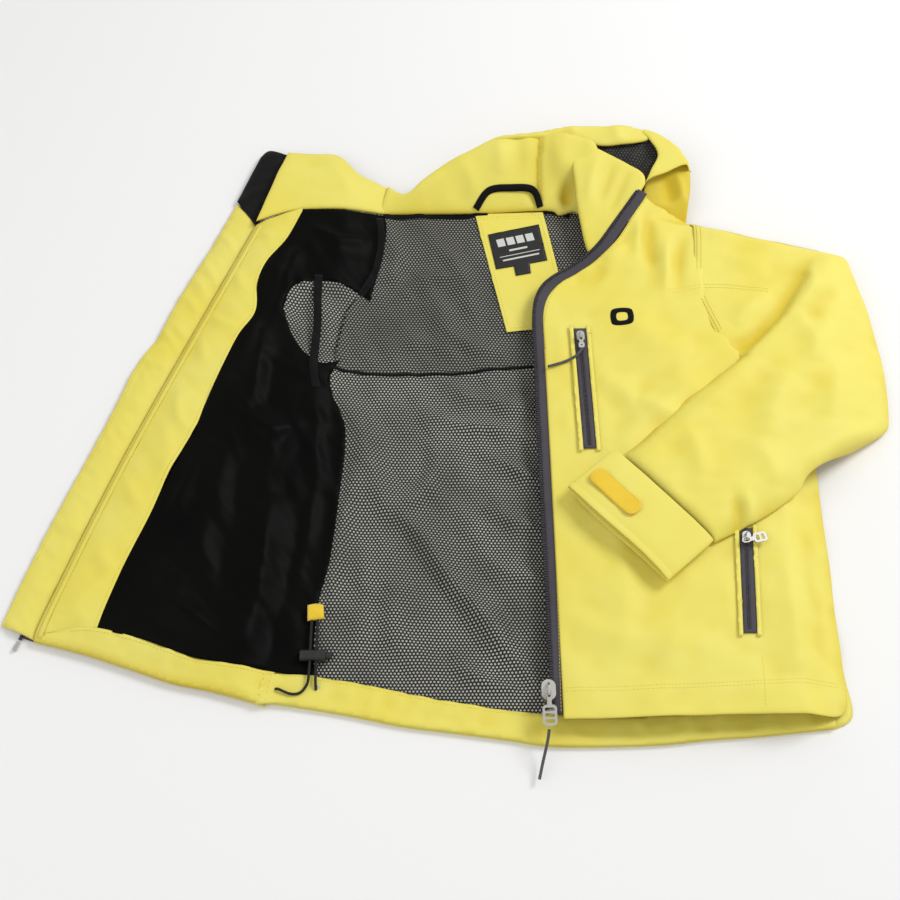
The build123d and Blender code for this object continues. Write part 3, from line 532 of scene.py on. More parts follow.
def folds(x, y, marks):
    """Ridges (plus) and valleys (minus) along lines: (path, height, width, sharpness from 0 to 1)."""
    total = np.zeros(np.shape(x))
    for path, height, width, sharp in marks:
        distance, share, _ = to_line(x, y, spline(path, 6.0) if len(path) > 2 else path)
        ends = np.sqrt(np.clip(np.sin(np.pi * np.clip(share, 0.02, 0.98)), 0, 1))
        rounded = np.exp(-(distance / width) ** 2)
        creased = np.exp(-distance / width * 1.3)
        total += height * ends * (rounded * (1 - sharp) + creased * sharp)
    return total


def crumple(x, y, length, width, angle, seed):
    """Soft random draw lines, longer along angle than across it, about -1 to 1."""
    c, s = math.cos(math.radians(angle)), math.sin(math.radians(angle))
    u, v = (x * c + y * s) / length, (y * c - x * s) / width
    return np.array([noise.noise(Vector((a, b, seed))) * 1.6 for a, b in zip(u, v)])


# Building meshes
def plan_mesh(loop, step, holes=(), lines=(), rings=()):
    """Triangles that fill an outline evenly, with given lines as edges, and denser rings at its edge."""
    low, high = loop.min(0), loop.max(0)
    rows = []
    pitch = step * math.sqrt(3) / 2
    for j in range(int((high[1] - low[1]) / pitch) + 2):
        xs = np.arange(low[0] + (j % 2) * step / 2, high[0] + step, step)
        rows.append(np.column_stack([xs, np.full(len(xs), low[1] + j * pitch)]))
    grid = np.vstack(rows)
    grid = grid[inside(grid, loop)]
    edge = to_edge(grid[:, 0], grid[:, 1], loop)
    clear = edge > 0.55 * step + (max(rings) if rings else 0)
    for other in holes:
        clear &= ~inside(grid, other)
        clear &= to_edge(grid[:, 0], grid[:, 1], other) > 0.5 * step
    for other in lines:
        clear &= to_line(grid[:, 0], grid[:, 1], other)[0] > 0.5 * step
    points = [loop, *holes, *lines, grid[clear]]
    for depth in rings:
        points.append(inset(loop, depth))
    joined = np.vstack(points)
    edges = []
    start = 0
    for part, closed in [(loop, True), *((h, True) for h in holes), *((l, False) for l in lines)]:
        count = len(part)
        edges += [(start + i, start + i + 1) for i in range(count - 1)]
        if closed:
            edges.append((start + count - 1, start))
        start += count
    verts, _, faces, _, _, _ = geometry.delaunay_2d_cdt(
        [Vector((p[0], p[1])) for p in joined], edges, [], 0, 1e-4)
    verts = np.array([(v.x, v.y) for v in verts])
    faces = np.array(faces)
    centres = verts[faces].mean(1)
    kept = inside(centres, loop)
    for hole in holes:
        kept &= ~inside(centres, hole)
    faces = faces[kept]
    a, b, c = (verts[faces[:, i]] for i in range(3))
    area = (b[:, 0] - a[:, 0]) * (c[:, 1] - a[:, 1]) - (b[:, 1] - a[:, 1]) * (c[:, 0] - a[:, 0])
    faces[area < 0] = faces[area < 0][:, ::-1]
    faces = faces[np.abs(area) > 1e-6]
    used, faces = np.unique(faces, return_inverse=True)
    return verts[used], faces.reshape(-1, 3), float(np.abs(area).sum() / 2)


def inset(loop, depth):
    """Points a little inside an outline."""
    ahead, behind = np.roll(loop, -1, 0), np.roll(loop, 1, 0)
    along = ahead - behind
    length = np.linalg.norm(along, axis=1, keepdims=True)
    across = np.column_stack([-along[:, 1], along[:, 0]]) / np.maximum(length, 1e-6)
    turning = np.sum(loop[:, 0] * ahead[:, 1] - ahead[:, 0] * loop[:, 1])
    moved = loop + across * depth * np.sign(turning)
    good = inside(moved, loop) & (to_edge(moved[:, 0], moved[:, 1], loop) > depth * 0.8)
    return moved[good]


def shown(name, data):
    """A new object in the scene."""
    made = bpy.data.objects.new(name, data)
    bpy.context.scene.collection.objects.link(made)
    return made


def mesh_object(name, points, faces, finish, smooth=True):
    """A mesh from points in millimetres, with a plan UV map."""
    mesh = bpy.data.meshes.new(name)
    mesh.from_pydata([tuple(p) for p in np.asarray(points) * MM], [],
                     [tuple(int(i) for i in f) for f in faces])
    mesh.update()
    places = np.asarray(points)[:, :2]
    layer = mesh.uv_layers.new(name="plan")
    corners = np.zeros(len(mesh.loops), np.int32)
    mesh.loops.foreach_get("vertex_index", corners)
    layer.data.foreach_set("uv", (places[corners] * MM).astype(np.float32).ravel())
    mesh.polygons.foreach_set("use_smooth", [smooth] * len(mesh.polygons))
    mesh.materials.append(finish)
    return shown(name, mesh)


def thicken(piece, thickness):
    """Gives cloth its thickness, under its face."""
    solid = piece.modifiers.new("thickness", "SOLIDIFY")
    solid.thickness = thickness * MM
    solid.offset = -1


HOLLOW_SHADE_DEPTH = 1.6  # how far below the cloth round it a place is before its painted shade is at its deepest


def mark_hollow_shade(piece, points, faces, extra=0.0):
    """Says, at each vertex, how far it lies below the cloth round it, as painted shade for the cloth's
    colour: it deepens towards mustard there, as if shade fell in its hollows, and extra adds painted shade to
    the whole piece.
    """
    z = np.asarray(points)[:, 2].copy()
    edges = np.vstack([faces[:, [0, 1]], faces[:, [1, 2]], faces[:, [2, 0]]])
    ends = np.concatenate([edges[:, 0], edges[:, 1]])
    others = np.concatenate([edges[:, 1], edges[:, 0]])
    count = np.maximum(np.bincount(ends, minlength=len(z)), 1)
    around = z.copy()
    for _ in range(7):
        around = np.bincount(ends, around[others], minlength=len(z)) / count
    depth = np.clip((around - z - 0.15) / HOLLOW_SHADE_DEPTH, 0, 1)
    for _ in range(2):
        depth = np.bincount(ends, depth[others], minlength=len(z)) / count
    layer = piece.data.attributes.new("hollow_shade", "FLOAT", "POINT")
    layer.data.foreach_set("value", np.clip(depth + extra, 0, 1).astype(np.float32))


FOLD_BLEND = ("jacket", "right_front")
HOOD_BLEND = ("jacket", "hood")


def attach(piece, body):
    """Rides on one body; a piece across the joint of the fold or the hood has its place baked into its mesh
    instead.
    """
    if body == FOLD_BLEND:
        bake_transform(piece)
    elif body == HOOD_BLEND:
        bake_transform(piece)
    else:
        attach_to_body(piece, body)


def settle(piece, body, stands_for=()):
    """Hides the frame's nodes that a piece stands for, and attaches it to the body that it moves with."""
    if stands_for:
        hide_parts(*stands_for)
    attach(piece, body)


def surface_area(points, faces):
    """The area of triangles, in square metres, from points in millimetres."""
    a, b, c = (np.asarray(points)[faces[:, i]] * MM for i in range(3))
    return float(np.linalg.norm(np.cross(b - a, c - a), axis=1).sum() / 2)


def declare(loop, plan_area, cloth_area):
    """Works out a sheet's cut from its plan outline, longer where the cloth rises and falls, and keeps none
    of it.
    """
    wide, long = (float(side) for side in (loop.max(0) - loop.min(0)) * MM)
    if plan_area * MM * MM < 0.35 * wide * long:  # a bent strip has its own width and length
        long = float(np.linalg.norm(np.diff(loop, axis=0), axis=1).sum()) * MM / 2
        wide = plan_area * MM * MM / long
    slack = math.sqrt(max(1.0, cloth_area / (plan_area * MM * MM)))
    wide, long = max(0.01, wide * slack), max(0.01, long * slack)


def panel(name, loop, height, body, finish, slot, stands_for=(), thickness=0.8, step=4.0, holes=(), lines=(),
          held="laid", rests_on="back_shell", round_edge=0.0, edge_drop=0.0, shade=0.0):
    """One panel of cloth cut to a plan outline, at a height over the plan, with its edge turned down."""
    rings = (0.12 * round_edge, 0.35 * round_edge, 0.7 * round_edge) if round_edge else ()
    plan, faces, area = plan_mesh(loop, step, holes, lines, rings)
    x, y = plan[:, 0], plan[:, 1]
    z = height(x, y)
    if round_edge:
        depth = np.clip(to_edge(x, y, loop) / round_edge, 0, 1)
        z = z - edge_drop * (1 - np.sqrt(1 - (1 - depth) ** 2))
    points = np.column_stack([x, y, z])
    piece = mesh_object(name, points, faces, finish)
    # painted shade: deeper colour in the hollows, and over the whole panel as much as shade says
    mark_hollow_shade(piece, points, faces, shade)
    thicken(piece, thickness)
    settle(piece, body, stands_for)
    declare(loop, area, surface_area(points, faces))


def shell_panel(name, loop, height, body, stands_for=(), thickness=0.8, **more):
    """A panel of the yellow shell cloth."""
    panel(name, loop, height, body, shell_cloth, "shell_cloth", stands_for, thickness, **more)


def tube(name, rings, finish, body, stands_for=()):
    """A flattened tube through closed rings of points, open at both ends."""
    count = len(rings[0])
    points = np.vstack(rings)
    faces = []
    for i in range(len(rings) - 1):
        for j in range(count):
            k = (j + 1) % count
            faces.append((i * count + j, i * count + k, (i + 1) * count + k, (i + 1) * count + j))
    piece = mesh_object(name, points, faces, finish)
    settle(piece, body, stands_for)
    return piece


def dashes(name, runs, body, length=2.4, gap=1.1, width=0.55):
    """Rows of stitches: short raised threads along lines on the cloth. Each run is (path, height)."""
    points, faces = [], []
    for path, height in runs:
        line = np.array(spline(path, 1.5))
        reach = lengths_along(line)
        for start in np.arange(1.0, reach[-1] - length, length + gap):
            s = np.array([start, start + 0.5 * length, start + length])
            x, y = np.interp(s, reach, line[:, 0]), np.interp(s, reach, line[:, 1])
            z = height(x, y)
            way = np.array([x[2] - x[0], y[2] - y[0]])
            way = way / max(np.linalg.norm(way), 1e-6)
            across = np.array([-way[1], way[0]]) * width / 2
            base = len(points)
            for i, lift in ((0, -0.1), (1, 0.3), (2, -0.1)):
                points += [(x[i] - across[0], y[i] - across[1], z[i] - 0.1),
                           (x[i], y[i], z[i] + lift + 0.15),
                           (x[i] + across[0], y[i] + across[1], z[i] - 0.1)]
            for i in (0, 3):
                for j in (0, 1):
                    a = base + i + j
                    faces.append((a, a + 1, a + 4, a + 3))
            faces += [(base, base + 1, base + 2), (base + 8, base + 7, base + 6),
                      (base, base + 3, base + 6, base + 8, base + 5, base + 2)]
    settle(mesh_object(name, points, faces, stitch_thread), body)


# Cords
def cord_piece(name, route, diameter, body, node, finish):
    """A free cord as a smooth curve through its route's points, in metres."""
    data = bpy.data.curves.new(name, "CURVE")
    data.dimensions = "3D"
    data.bevel_depth = diameter / 2
    data.bevel_resolution = 4
    data.resolution_u = 8
    data.use_fill_caps = True
    line = data.splines.new("NURBS")
    line.points.add(len(route) - 1)
    for point, place in zip(line.points, route):
        point.co = (*place, 1)
    line.order_u = 3
    line.use_endpoint_u = True
    data.materials.append(finish)
    piece = shown(name, data)
    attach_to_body(piece, body)
    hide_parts(node)


HEM_CORD = [
    (-0.172, -0.301, 0.0049), (-0.1705, -0.3016, 0.0082), (-0.165, -0.3045, 0.0086),
    (-0.157, -0.3076, 0.008), (-0.149, -0.3064, 0.0078), (-0.1436, -0.3, 0.0086),
    (-0.1414, -0.292, 0.0096), (-0.1414, -0.239, 0.0096), (-0.1411, -0.231, 0.0082),
    (-0.1409, -0.2252, 0.0073), (-0.1361, -0.2251, 0.0073), (-0.1359, -0.231, 0.0082),
    (-0.1356, -0.239, 0.0096), (-0.1356, -0.291, 0.0096), (-0.1353, -0.2985, 0.0082),
    (-0.135, -0.3019, 0.0049),
]
MAIN_CORD = [
    (0.0767, -0.3465, 0.0232), (0.0762, -0.351, 0.021), (0.0748, -0.3575, 0.017), (0.073, -0.3645, 0.0124),
    (0.071, -0.372, 0.0088), (0.0694, -0.379, 0.0072), (0.0676, -0.387, 0.0066),
]
CHEST_CORD = [
    (0.1219, 0.057, 0.03), (0.1193, 0.0512, 0.0298), (0.113, 0.0468, 0.0282), (0.105, 0.0432, 0.0268),
    (0.096, 0.0402, 0.0262), (0.087, 0.0376, 0.026),
]
cord_piece("hem_cord", HEM_CORD, 0.0026, "jacket", "hem_drawcord", black_braid)
cord_piece("main_pull_braid", MAIN_CORD, 0.0028, "main_pull", "main_pull_cord", grey_braid)
cord_piece("chest_pull_braid", CHEST_CORD, 0.0028, "chest_pull", "chest_pull_cord", grey_braid)


# Outlines that several pieces share
def fold_x(y, gap=0.0):
    """Where the fold of the right front is at a given y, plus a gap."""
    share = (y - FOLD_LOW[1]) / (FOLD_HIGH[1] - FOLD_LOW[1])
    return FOLD_LOW[0] + share * (FOLD_HIGH[0] - FOLD_LOW[0]) + gap


FOLD_LEAN = 0.984  # the share of a sideways distance that is square to the leaning fold


def past_fold(x, y):
    """How far a plan point is to the open front's side of the fold."""
    return (fold_x(y) - x) * FOLD_LEAN


BORDER = [(-171, 242), (-186, 205), (-206, 175), (-214, 147), (-214, 110), (-230, 80), (-246, 35), (-258, -5),
          (-265, -30), (-286, -80), (-301, -128), (-321, -183), (-340, -246)]
NET_SIDE = [(-83, 245), (-82, 205), (-106, 94), (-134, 33), (-117, -26), (-121, -106), (-127, -171),
            (-136, -213), (-139, -264), (-136, -288)]
LINING_LOW = [(-340, -246), (-298, -256), (-265, -268), (-239, -276), (-173, -285), (-136, -289)]
NET_LOW = [(-136, -289), (-98, -295), (-12, -313), (54, -323), (93, -326), (171, -326), (338, -314)]
HEM = [(-400, -254), (-351, -267), (-306, -282), (-268, -295), (-231, -303), (-171, -315), (-109, -325),
       (-56, -336), (-12, -342), (40, -349), (84, -355), (169, -354), (221, -349), (274, -345), (338, -338)]
ARMHOLE = outline([(-185, 112), (-176, 140), (-146, 150), (-116, 146), (-96, 131), (-89, 108), (-95, 84),
                   (-112, 66), (-145, 50), (-170, 72), (-185, 112)], step=4.0)
WAIST = [(-135, 50), (-84, 43), (-22, 44), (39, 50), (80, 53), (200, 53)]

NET_FOLDS = [
    ([(-109, -12), (-95, -48), (-80, -100), (-71, -118)], 8.0, 13.0, 0.35),
    ([(-71, -116), (-42, -140), (-17, -182), (14, -226), (44, -275)], 9.0, 12.0, 0.55),
    ([(-84, -128), (-56, -150), (-32, -192), (-4, -236), (24, -280)], -4.0, 13.0, 0.2),
    ([(-71, -114), (-46, -104), (-26, -72), (-30, -40)], 6.0, 11.0, 0.3),
    ([(-60, -88), (-50, -60), (-54, -25)], -4.0, 12.0, 0.2),
    ([(-104, -60), (-112, -110), (-120, -165), (-126, -215)], 6.0, 9.0, 0.3),
    ([(-34, -5), (5, -21), (50, -26), (80, -43)], 5.0, 9.0, 0.4),
    ([(-10, 21), (34, 6), (78, 0)], 4.5, 9.0, 0.4),
    ([(30, -55), (62, -76), (84, -86)], 6.0, 8.0, 0.4),
    ([(20, -110), (50, -128), (84, -140)], 5.0, 10.0, 0.3),
    ([(20, -165), (52, -186), (86, -192)], 4.0, 11.0, 0.3),
    ([(24, -209), (44, -264), (64, -290)], 4.5, 10.0, 0.3),
    ([(-17, -273), (16, -291), (52, -303)], 4.0, 8.0, 0.3),
    ([(-59, -190), (-66, -235), (-60, -270)], 4.5, 12.0, 0.2),
    ([(-100, -150), (-92, -200), (-98, -250)], 4.0, 10.0, 0.3),
    ([(-54, 222), (-29, 206), (2, 164), (14, 107)], 5.0, 12.0, 0.3),
    ([(-64, 136), (-41, 160), (-14, 164)], 4.0, 9.0, 0.4),
    ([(-78, 234), (-68, 195), (-74, 150)], 4.0, 9.0, 0.3),
    ([(-23, 132), (-7, 88), (40, 66)], 4.5, 11.0, 0.3),
    ([(-80, 70), (-40, 80), (-5, 64)], 3.0, 9.0, 0.3),
]
TAFFETA_FOLDS = [
    ([(-239, 39), (-228, 14), (-214, -14)], 7.0, 11.0, 0.55),
    ([(-210, 104), (-206, 50), (-213, -12)], 8.0, 13.0, 0.4),
    ([(-214, -14), (-190, -34), (-160, -22)], 6.0, 11.0, 0.4),
    ([(-200, 60), (-190, 20), (-200, -8)], -5.0, 13.0, 0.2),
    ([(-229, -42), (-241, -109), (-248, -180)], 6.0, 14.0, 0.25),
    ([(-205, -60), (-212, -120), (-222, -190), (-232, -250)], -4.0, 14.0, 0.2),
    ([(-186, -100), (-190, -180), (-199, -262)], 7.0, 12.0, 0.35),
    ([(-171, 200), (-185, 150), (-198, 90)], 6.0, 11.0, 0.4),
    ([(-163, 222), (-130, 204), (-98, 210)], 4.5, 8.0, 0.4),
    ([(-150, 29), (-143, -53), (-148, -131), (-158, -200)], 5.0, 9.0, 0.45),
    ([(-294, -222), (-255, -232), (-216, -258)], 5.0, 11.0, 0.3),
    ([(-286, -142), (-262, -176), (-268, -216)], 5.0, 12.0, 0.3),
    ([(-262, -60), (-272, -100), (-290, -140)], 4.0, 11.0, 0.3),
    ([(-310, -205), (-280, -190), (-262, -160)], 3.5, 12.0, 0.2),
    ([(-170, 20), (-172, -50), (-180, -120)], -4.0, 12.0, 0.2),
    ([(-220, 130), (-205, 168), (-186, 188)], 3.5, 9.0, 0.3),
]


def across_fold(x, y, opened, laid, rise):
    """A height over the open front's slopes, or over the ground with a rise beside the fold."""
    over = past_fold(x, y)
    ground = laid + rise * np.exp(-(np.minimum(over, 0) / 22) ** 2)
    return np.where(over > 0, OPEN_FRONT.at(x, y) + opened, ground)


def near_zip(x):
    """1 away from the closed front's zip and 0 under it, so that the lining stays below the tape."""
    return ease((140 - x) / 60) * 0.7 + 0.3


def inner_height(x, y):
    """The face of the lining, from the left front across the fold to the open front."""
    base = across_fold(x, y, 4.9, 3.9, 2.5)
    on_back = ease((70 - past_fold(x, y)) / 60)
    wave = 1.3 * folds(x, y, NET_FOLDS) * on_back + 1.1 * folds(x, y, TAFFETA_FOLDS)
    wave = wave + 2.4 * crumple(x, y, 60, 22, -62, 3.1) + 0.9 * crumple(x, y, 22, 9, -50, 7.7)
    flat_edge = ease(np.minimum(to_line(x, y, LINING_LOW + NET_LOW)[0], to_line(x, y, BORDER)[0]) / 26)
    wave = wave * flat_edge * near_zip(x)
    return base + np.maximum(wave, -1.8)


def build_linings():
    """The mesh lining of the back, its yoke, the black lining and the armhole's mesh."""
    lower = outline(NET_LOW, [(338, 50)], [(200, 53), (80, 53), (39, 50), (-22, 44), (-84, 43), (-138, 48)],
                    [(-138, 40), (-127, -26), (-131, -106), (-137, -171), (-146, -213), (-147, -264),
                     (-136, -289)])
    panel("mesh_lining", lower, inner_height, "jacket", mesh_cloth, "mesh_lining", ["back_mesh_lower"], 0.5)
    upper = outline([(-132, 47), (-84, 43), (-22, 44), (39, 50), (80, 53), (200, 53), (338, 52)],
                    [(326, 118), (300, 160), (246, 228)], [(130, 250), (89, 253), (15, 249), (-92, 247)],
                    [(-92, 247), (-91, 205), (-97, 150)], [(-97, 150), (-119, 118), (-132, 47)])
    # painted shade: the yoke uses the mesh copy with darker holes
    panel("mesh_yoke", upper, raised(inner_height, -0.15), "jacket", shaded_yoke_mesh, "mesh_lining",
          ["back_mesh_upper"], 0.5)
    waist = [(x, y - 1.5) for x, y in WAIST]  # just below the yoke's edge
    band("waist_seam", waist, 1.7, raised(inner_height, 0.5), "jacket", black_tape, "mesh_lining",
         rests_on="mesh_lining")
    black = outline(BORDER, LINING_LOW, list(reversed(NET_SIDE)), [(-83, 245), (-171, 244)])
    panel("black_lining", black, raised(inner_height, 0.5), FOLD_BLEND, black_taffeta, "black_lining",
          ["right_front_lining", "side_lining"], 0.5, step=4.0, holes=[ARMHOLE], rests_on="right_front_shell")
    bowl = outline([(-190, 112), (-180, 144), (-146, 155), (-112, 151), (-92, 133), (-84, 108), (-90, 81),
                    (-110, 61), (-145, 44), (-174, 69), (-190, 112)])

    def sunk(x, y):
        depth = np.where(inside(np.column_stack([x, y]), ARMHOLE), to_edge(x, y, ARMHOLE), 0)
        return inner_height(x, y) - 0.6 - 5.0 * ease(depth / 16)

    panel("armhole_mesh", bowl, sunk, FOLD_BLEND, mesh_cloth, "mesh_lining", ["right_sleeve_lining"], 0.5,
          rests_on="right_sleeve_upper")


def band_loop(path, half, step=3.0):
    """The outline of a narrow band along a plan path."""
    line = np.array(spline(path, step))
    across = to_left(line) * half
    return np.vstack([line + across, (line - across)[::-1]])


def band(name, path, half, height, body, finish, slot, stands_for=(), thickness=0.7, rests_on="back_shell",
         lines=False):
    """A narrow tape laid along a plan path."""
    line = [np.array(spline(path, 3.0))[1:-1]] if lines else []
    panel(name, band_loop(path, half), height, body, finish, slot, stands_for, thickness, step=3.0,
          lines=line, rests_on=rests_on)


def build_inner_trims():
    """Tapes and binding over the linings, the neck facing, the label and the hanger."""
    bindings = (  # name, path, half width, lift over the lining, body and what it rests on
        ("armhole_tape", [(-150, 156), (-150, 128), (-149, 96), (-151, 44), (-147, 20)], 4.2, 1.2, FOLD_BLEND,
         "armhole_mesh"),
        ("neck_binding", [(-84, 245), (-30, 246), (15, 248), (60, 252), (96, 252), (118, 247)], 3.4, 1.4,
         "jacket", "mesh_yoke"),
        ("armhole_binding", [(-88, 240), (-86, 205), (-92, 168), (-106, 140)], 3.6, 1.3, "jacket",
         "mesh_yoke"),
    )
    for name, path, half, lift, body, under in bindings:
        band(name, path, half, raised(inner_height, lift), body, black_tape, "black_lining", rests_on=under)
    facing = outline([(15, 248), (89, 251)], [(89, 251), (103, 172), (114, 101)],
                     [(114, 101), (78, 97), (47, 93)], [(47, 93), (15, 248)], step=3.0)
    level = top_of("neck_facing")

    def neck_height(x, y):
        return np.maximum(level, inner_height(x, y) * 0.35 + 4.2) + 0.6

    shell_panel("neck_cloth", facing, neck_height, "jacket", ["neck_facing"], 0.8, step=3.0,
                rests_on="mesh_yoke", round_edge=3.0, edge_drop=0.5)

    def label_height(x, y):
        return neck_height(x, y) + 1.0

    label = polygon((29, 219), (84, 233), (92, 185), (73, 180.6), (74, 168), (58, 164.5), (56, 177),
                    (37, 173), step=2.0)
    panel("label", label, label_height, "jacket", label_cloth, "label_cloth", ["woven_label"], 0.6, step=2.5,
          rests_on="neck_cloth")
    rows = ([(19, 243), (87, 246)], [(19, 240), (87, 243)], [(21, 236), (49, 99)],
            [(50, 97.5), (78, 101), (110, 105)], [(86, 243), (99, 172), (110, 105)])
    runs = [(row, neck_height) for row in rows]
    dashes("neck_stitches", runs, "jacket")

    def hanger_height(x, y):
        return BACK_COLLAR.at(x, y) + 3.6

    band("hanger", [(16, 250), (30, 268), (54, 271), (78, 269), (86, 252)], 3.6, hanger_height, "hanger_loop",
         black_tape, "black_lining", ["hanger_loop"], 1.0, "collar_cloth", lines=True)


LABEL_TURN = math.radians(-14)


def label_place(x, y):
    """A plan point in the label's own turned coordinates."""
    return (x * math.cos(LABEL_TURN) - y * math.sin(LABEL_TURN),
            x * math.sin(LABEL_TURN) + y * math.cos(LABEL_TURN))


def label_material():
    """Black satin with generic pale woven bars, and no lettering."""
    made = woven_material("label_cloth", grey(0.007), grey(0.005), 900.0, 0.5)
    graph = Graph(made)
    parts = graph.node("ShaderNodeSeparateXYZ")
    turned = graph.node("ShaderNodeMapping")
    turned.inputs["Rotation"].default_value = (0, 0, LABEL_TURN)
    graph.link(graph.uv(1000.0), turned.inputs["Vector"])
    graph.link(turned.outputs["Vector"], parts.inputs["Vector"])
    across, up = parts.outputs["X"], parts.outputs["Y"]

    def between(value, low, high):
        above = graph.math("GREATER_THAN", value, low)
        return graph.math("MULTIPLY", above, graph.math("LESS_THAN", value, high))

    total = 0.0
    for middle_x, middle_y, half_x, half_y in LABEL_BARS:
        bar = graph.math("MULTIPLY", between(across, middle_x - half_x, middle_x + half_x),
                         between(up, middle_y - half_y, middle_y + half_y))
        total = graph.math("MAXIMUM", bar, total)
    shade = graph.shader.inputs["Base Color"].links[0].from_socket
    graph.finish(graph.mix(total, shade, (0.62, 0.62, 0.6)))
    return made


LABEL_CENTRE = label_place(60.5, 203)
LABEL_BARS = [
    *[(LABEL_CENTRE[0] + dx, LABEL_CENTRE[1] + 9, 4.2, 5.0) for dx in (-16, -5.3, 5.3, 16)],
    (LABEL_CENTRE[0], LABEL_CENTRE[1] - 3, 10, 1.2),
    (LABEL_CENTRE[0], LABEL_CENTRE[1] - 9.5, 22, 0.45),
    (LABEL_CENTRE[0], LABEL_CENTRE[1] - 14.5, 20, 1.0),
]
label_cloth = label_material()


# Open right front
GATHERS = [
    ([(-262, 222), (-236, 190)], 2.2, 5.0, 0.3),
    ([(-274, 184), (-256, 149)], 2.4, 5.0, 0.3),
    ([(-285, 164), (-263, 132)], 2.2, 4.5, 0.3),
    ([(-295, 141), (-271, 114)], 2.4, 4.5, 0.3),
    ([(-305, 111), (-286, 86)], 2.2, 4.5, 0.3),
    ([(-312, 96), (-293, 70)], 1.8, 4.0, 0.3),
    ([(-326, 62), (-300, 46)], 2.0, 4.5, 0.3),
    ([(-344, 12), (-316, 3)], 1.8, 5.0, 0.2),
    ([(-363, -48), (-336, -56)], 1.8, 6.0, 0.2),
    ([(-393, -126), (-363, -145)], 1.8, 6.0, 0.2),
    ([(-413, -196), (-384, -208)], 1.6, 6.0, 0.2),
]
FACING_FOLDS = [
    ([(-288, 14), (-281, -20), (-266, -38)], 4.0, 7.0, 0.4),
    ([(-284, 30), (-266, 18), (-252, 2)], -2.5, 7.0, 0.3),
    ([(-240, 168), (-230, 140)], 3.0, 7.0, 0.3),
    ([(-271, 84), (-262, 52)], 3.5, 7.0, 0.3),
    ([(-262, 110), (-246, 96), (-232, 92)], 3.0, 6.0, 0.3),
    ([(-334, -84), (-312, -118)], 3.0, 8.0, 0.3),
    ([(-349, -168), (-326, -190)], 3.0, 8.0, 0.3),
    ([(-300, -20), (-288, -60), (-294, -100)], 3.0, 9.0, 0.2),
    ([(-222, 220), (-200, 206)], 2.5, 6.0, 0.3),
    ([(-366, -226), (-345, -205), (-330, -200)], 2.5, 8.0, 0.2),
]


def facing_height(x, y):
    """The face of the open front's yellow facing."""
    wave = folds(x, y, FACING_FOLDS) + 0.7 * crumple(x, y, 40, 14, -55, 11.3)
    wave = wave + 0.3 * crumple(x, y, 14, 7, -20, 2.3)
    return OPEN_FRONT.at(x, y) + 5.4 + np.maximum(wave * ease(to_line(x, y, SEAM)[0] / 16), -1.5)


def flap_height(x, y):
    """The wind flap: gathered along the seam that holds it."""
    seam = to_line(x, y, SEAM)[0]
    wave = folds(x, y, GATHERS) + 0.7 * crumple(x, y, 16, 7, -52, 5.2) + 0.5 * crumple(x, y, 60, 25, 60, 1.2)
    crown = 2.2 * np.sin(np.pi * np.clip(seam / 32, 0, 1))
    return 5.4 + crown + np.maximum(wave * ease((seam - 1) / 6), -1.2)


def shell_height(x, y):
    """The shell cloth under the linings."""
    return across_fold(x, y, 1.2, 1.2, 1.5)


def hem_height(x, y):
    """The hem's facing, from the shell's edge up on to the lining's edge, and a little wavy."""
    base = across_fold(x, y, 5.2, 4.3, 2.4)
    edge = to_line(x, y, HEM)[0]
    wave = 1.2 * crumple(x, y, 26, 15, 75, 4.4) + 0.5 * crumple(x, y, 9, 9, 0, 8.4)
    roll = 1.3 * np.exp(-((edge - 5) / 4) ** 2)
    return base + roll + np.maximum(wave, -0.8) * ease((edge - 2) / 8)


def offset_line(path, distance):
    """A plan path moved to its left."""
    line = np.array(spline(path, 8.0))
    return [tuple(p) for p in line + to_left(line) * distance]


BACK_HEM = [p for p in HEM if p[0] > fold_x(p[1]) + 4]
FRONT_HEM = [p for p in HEM if p[0] < fold_x(p[1]) + 4]
HEM_INNER = [(-399, -249), (-366, -244), (-340, -245)] + LINING_LOW[1:]
FLAP_EDGE = [(-245, 265), (-256, 236), (-268, 206), (-299, 134), (-315, 90), (-336, 50), (-355, -8),
             (-386, -93), (-409, -158), (-433, -237)]


def build_shells():
    """The shell cloth of the open front and of the back."""
    body_side = [(338, -338), (352, -331), (356, -318), (352, -283), (351, -222), (352, -174), (350, -125),
                 (344, -60), (344, 40), (330, 120), (250, 236)]
    front = outline([(fold_x(-316, 6), -317), *reversed(FRONT_HEM)], list(SEAM), [(-221, 230), (-171, 244)],
                    [(-171, 244), (fold_x(246, 6), 246)], step=6.0)
    shell_panel("open_front_cloth", front, shell_height, FOLD_BLEND, ["right_front_shell"], 1.0, step=6.0,
                holes=[ARMHOLE])
    back = outline([(fold_x(-316, -2), -316), *BACK_HEM], body_side, [(250, 236), (130, 251), (15, 246)],
                   [(fold_x(246, -2), 246), (fold_x(-316, -2), -316)], step=6.0)
    shell_panel("back_cloth", back, raised(shell_height, -0.1), "jacket", ["back_shell"], 1.0, step=6.0,
                rests_on="back_shell")


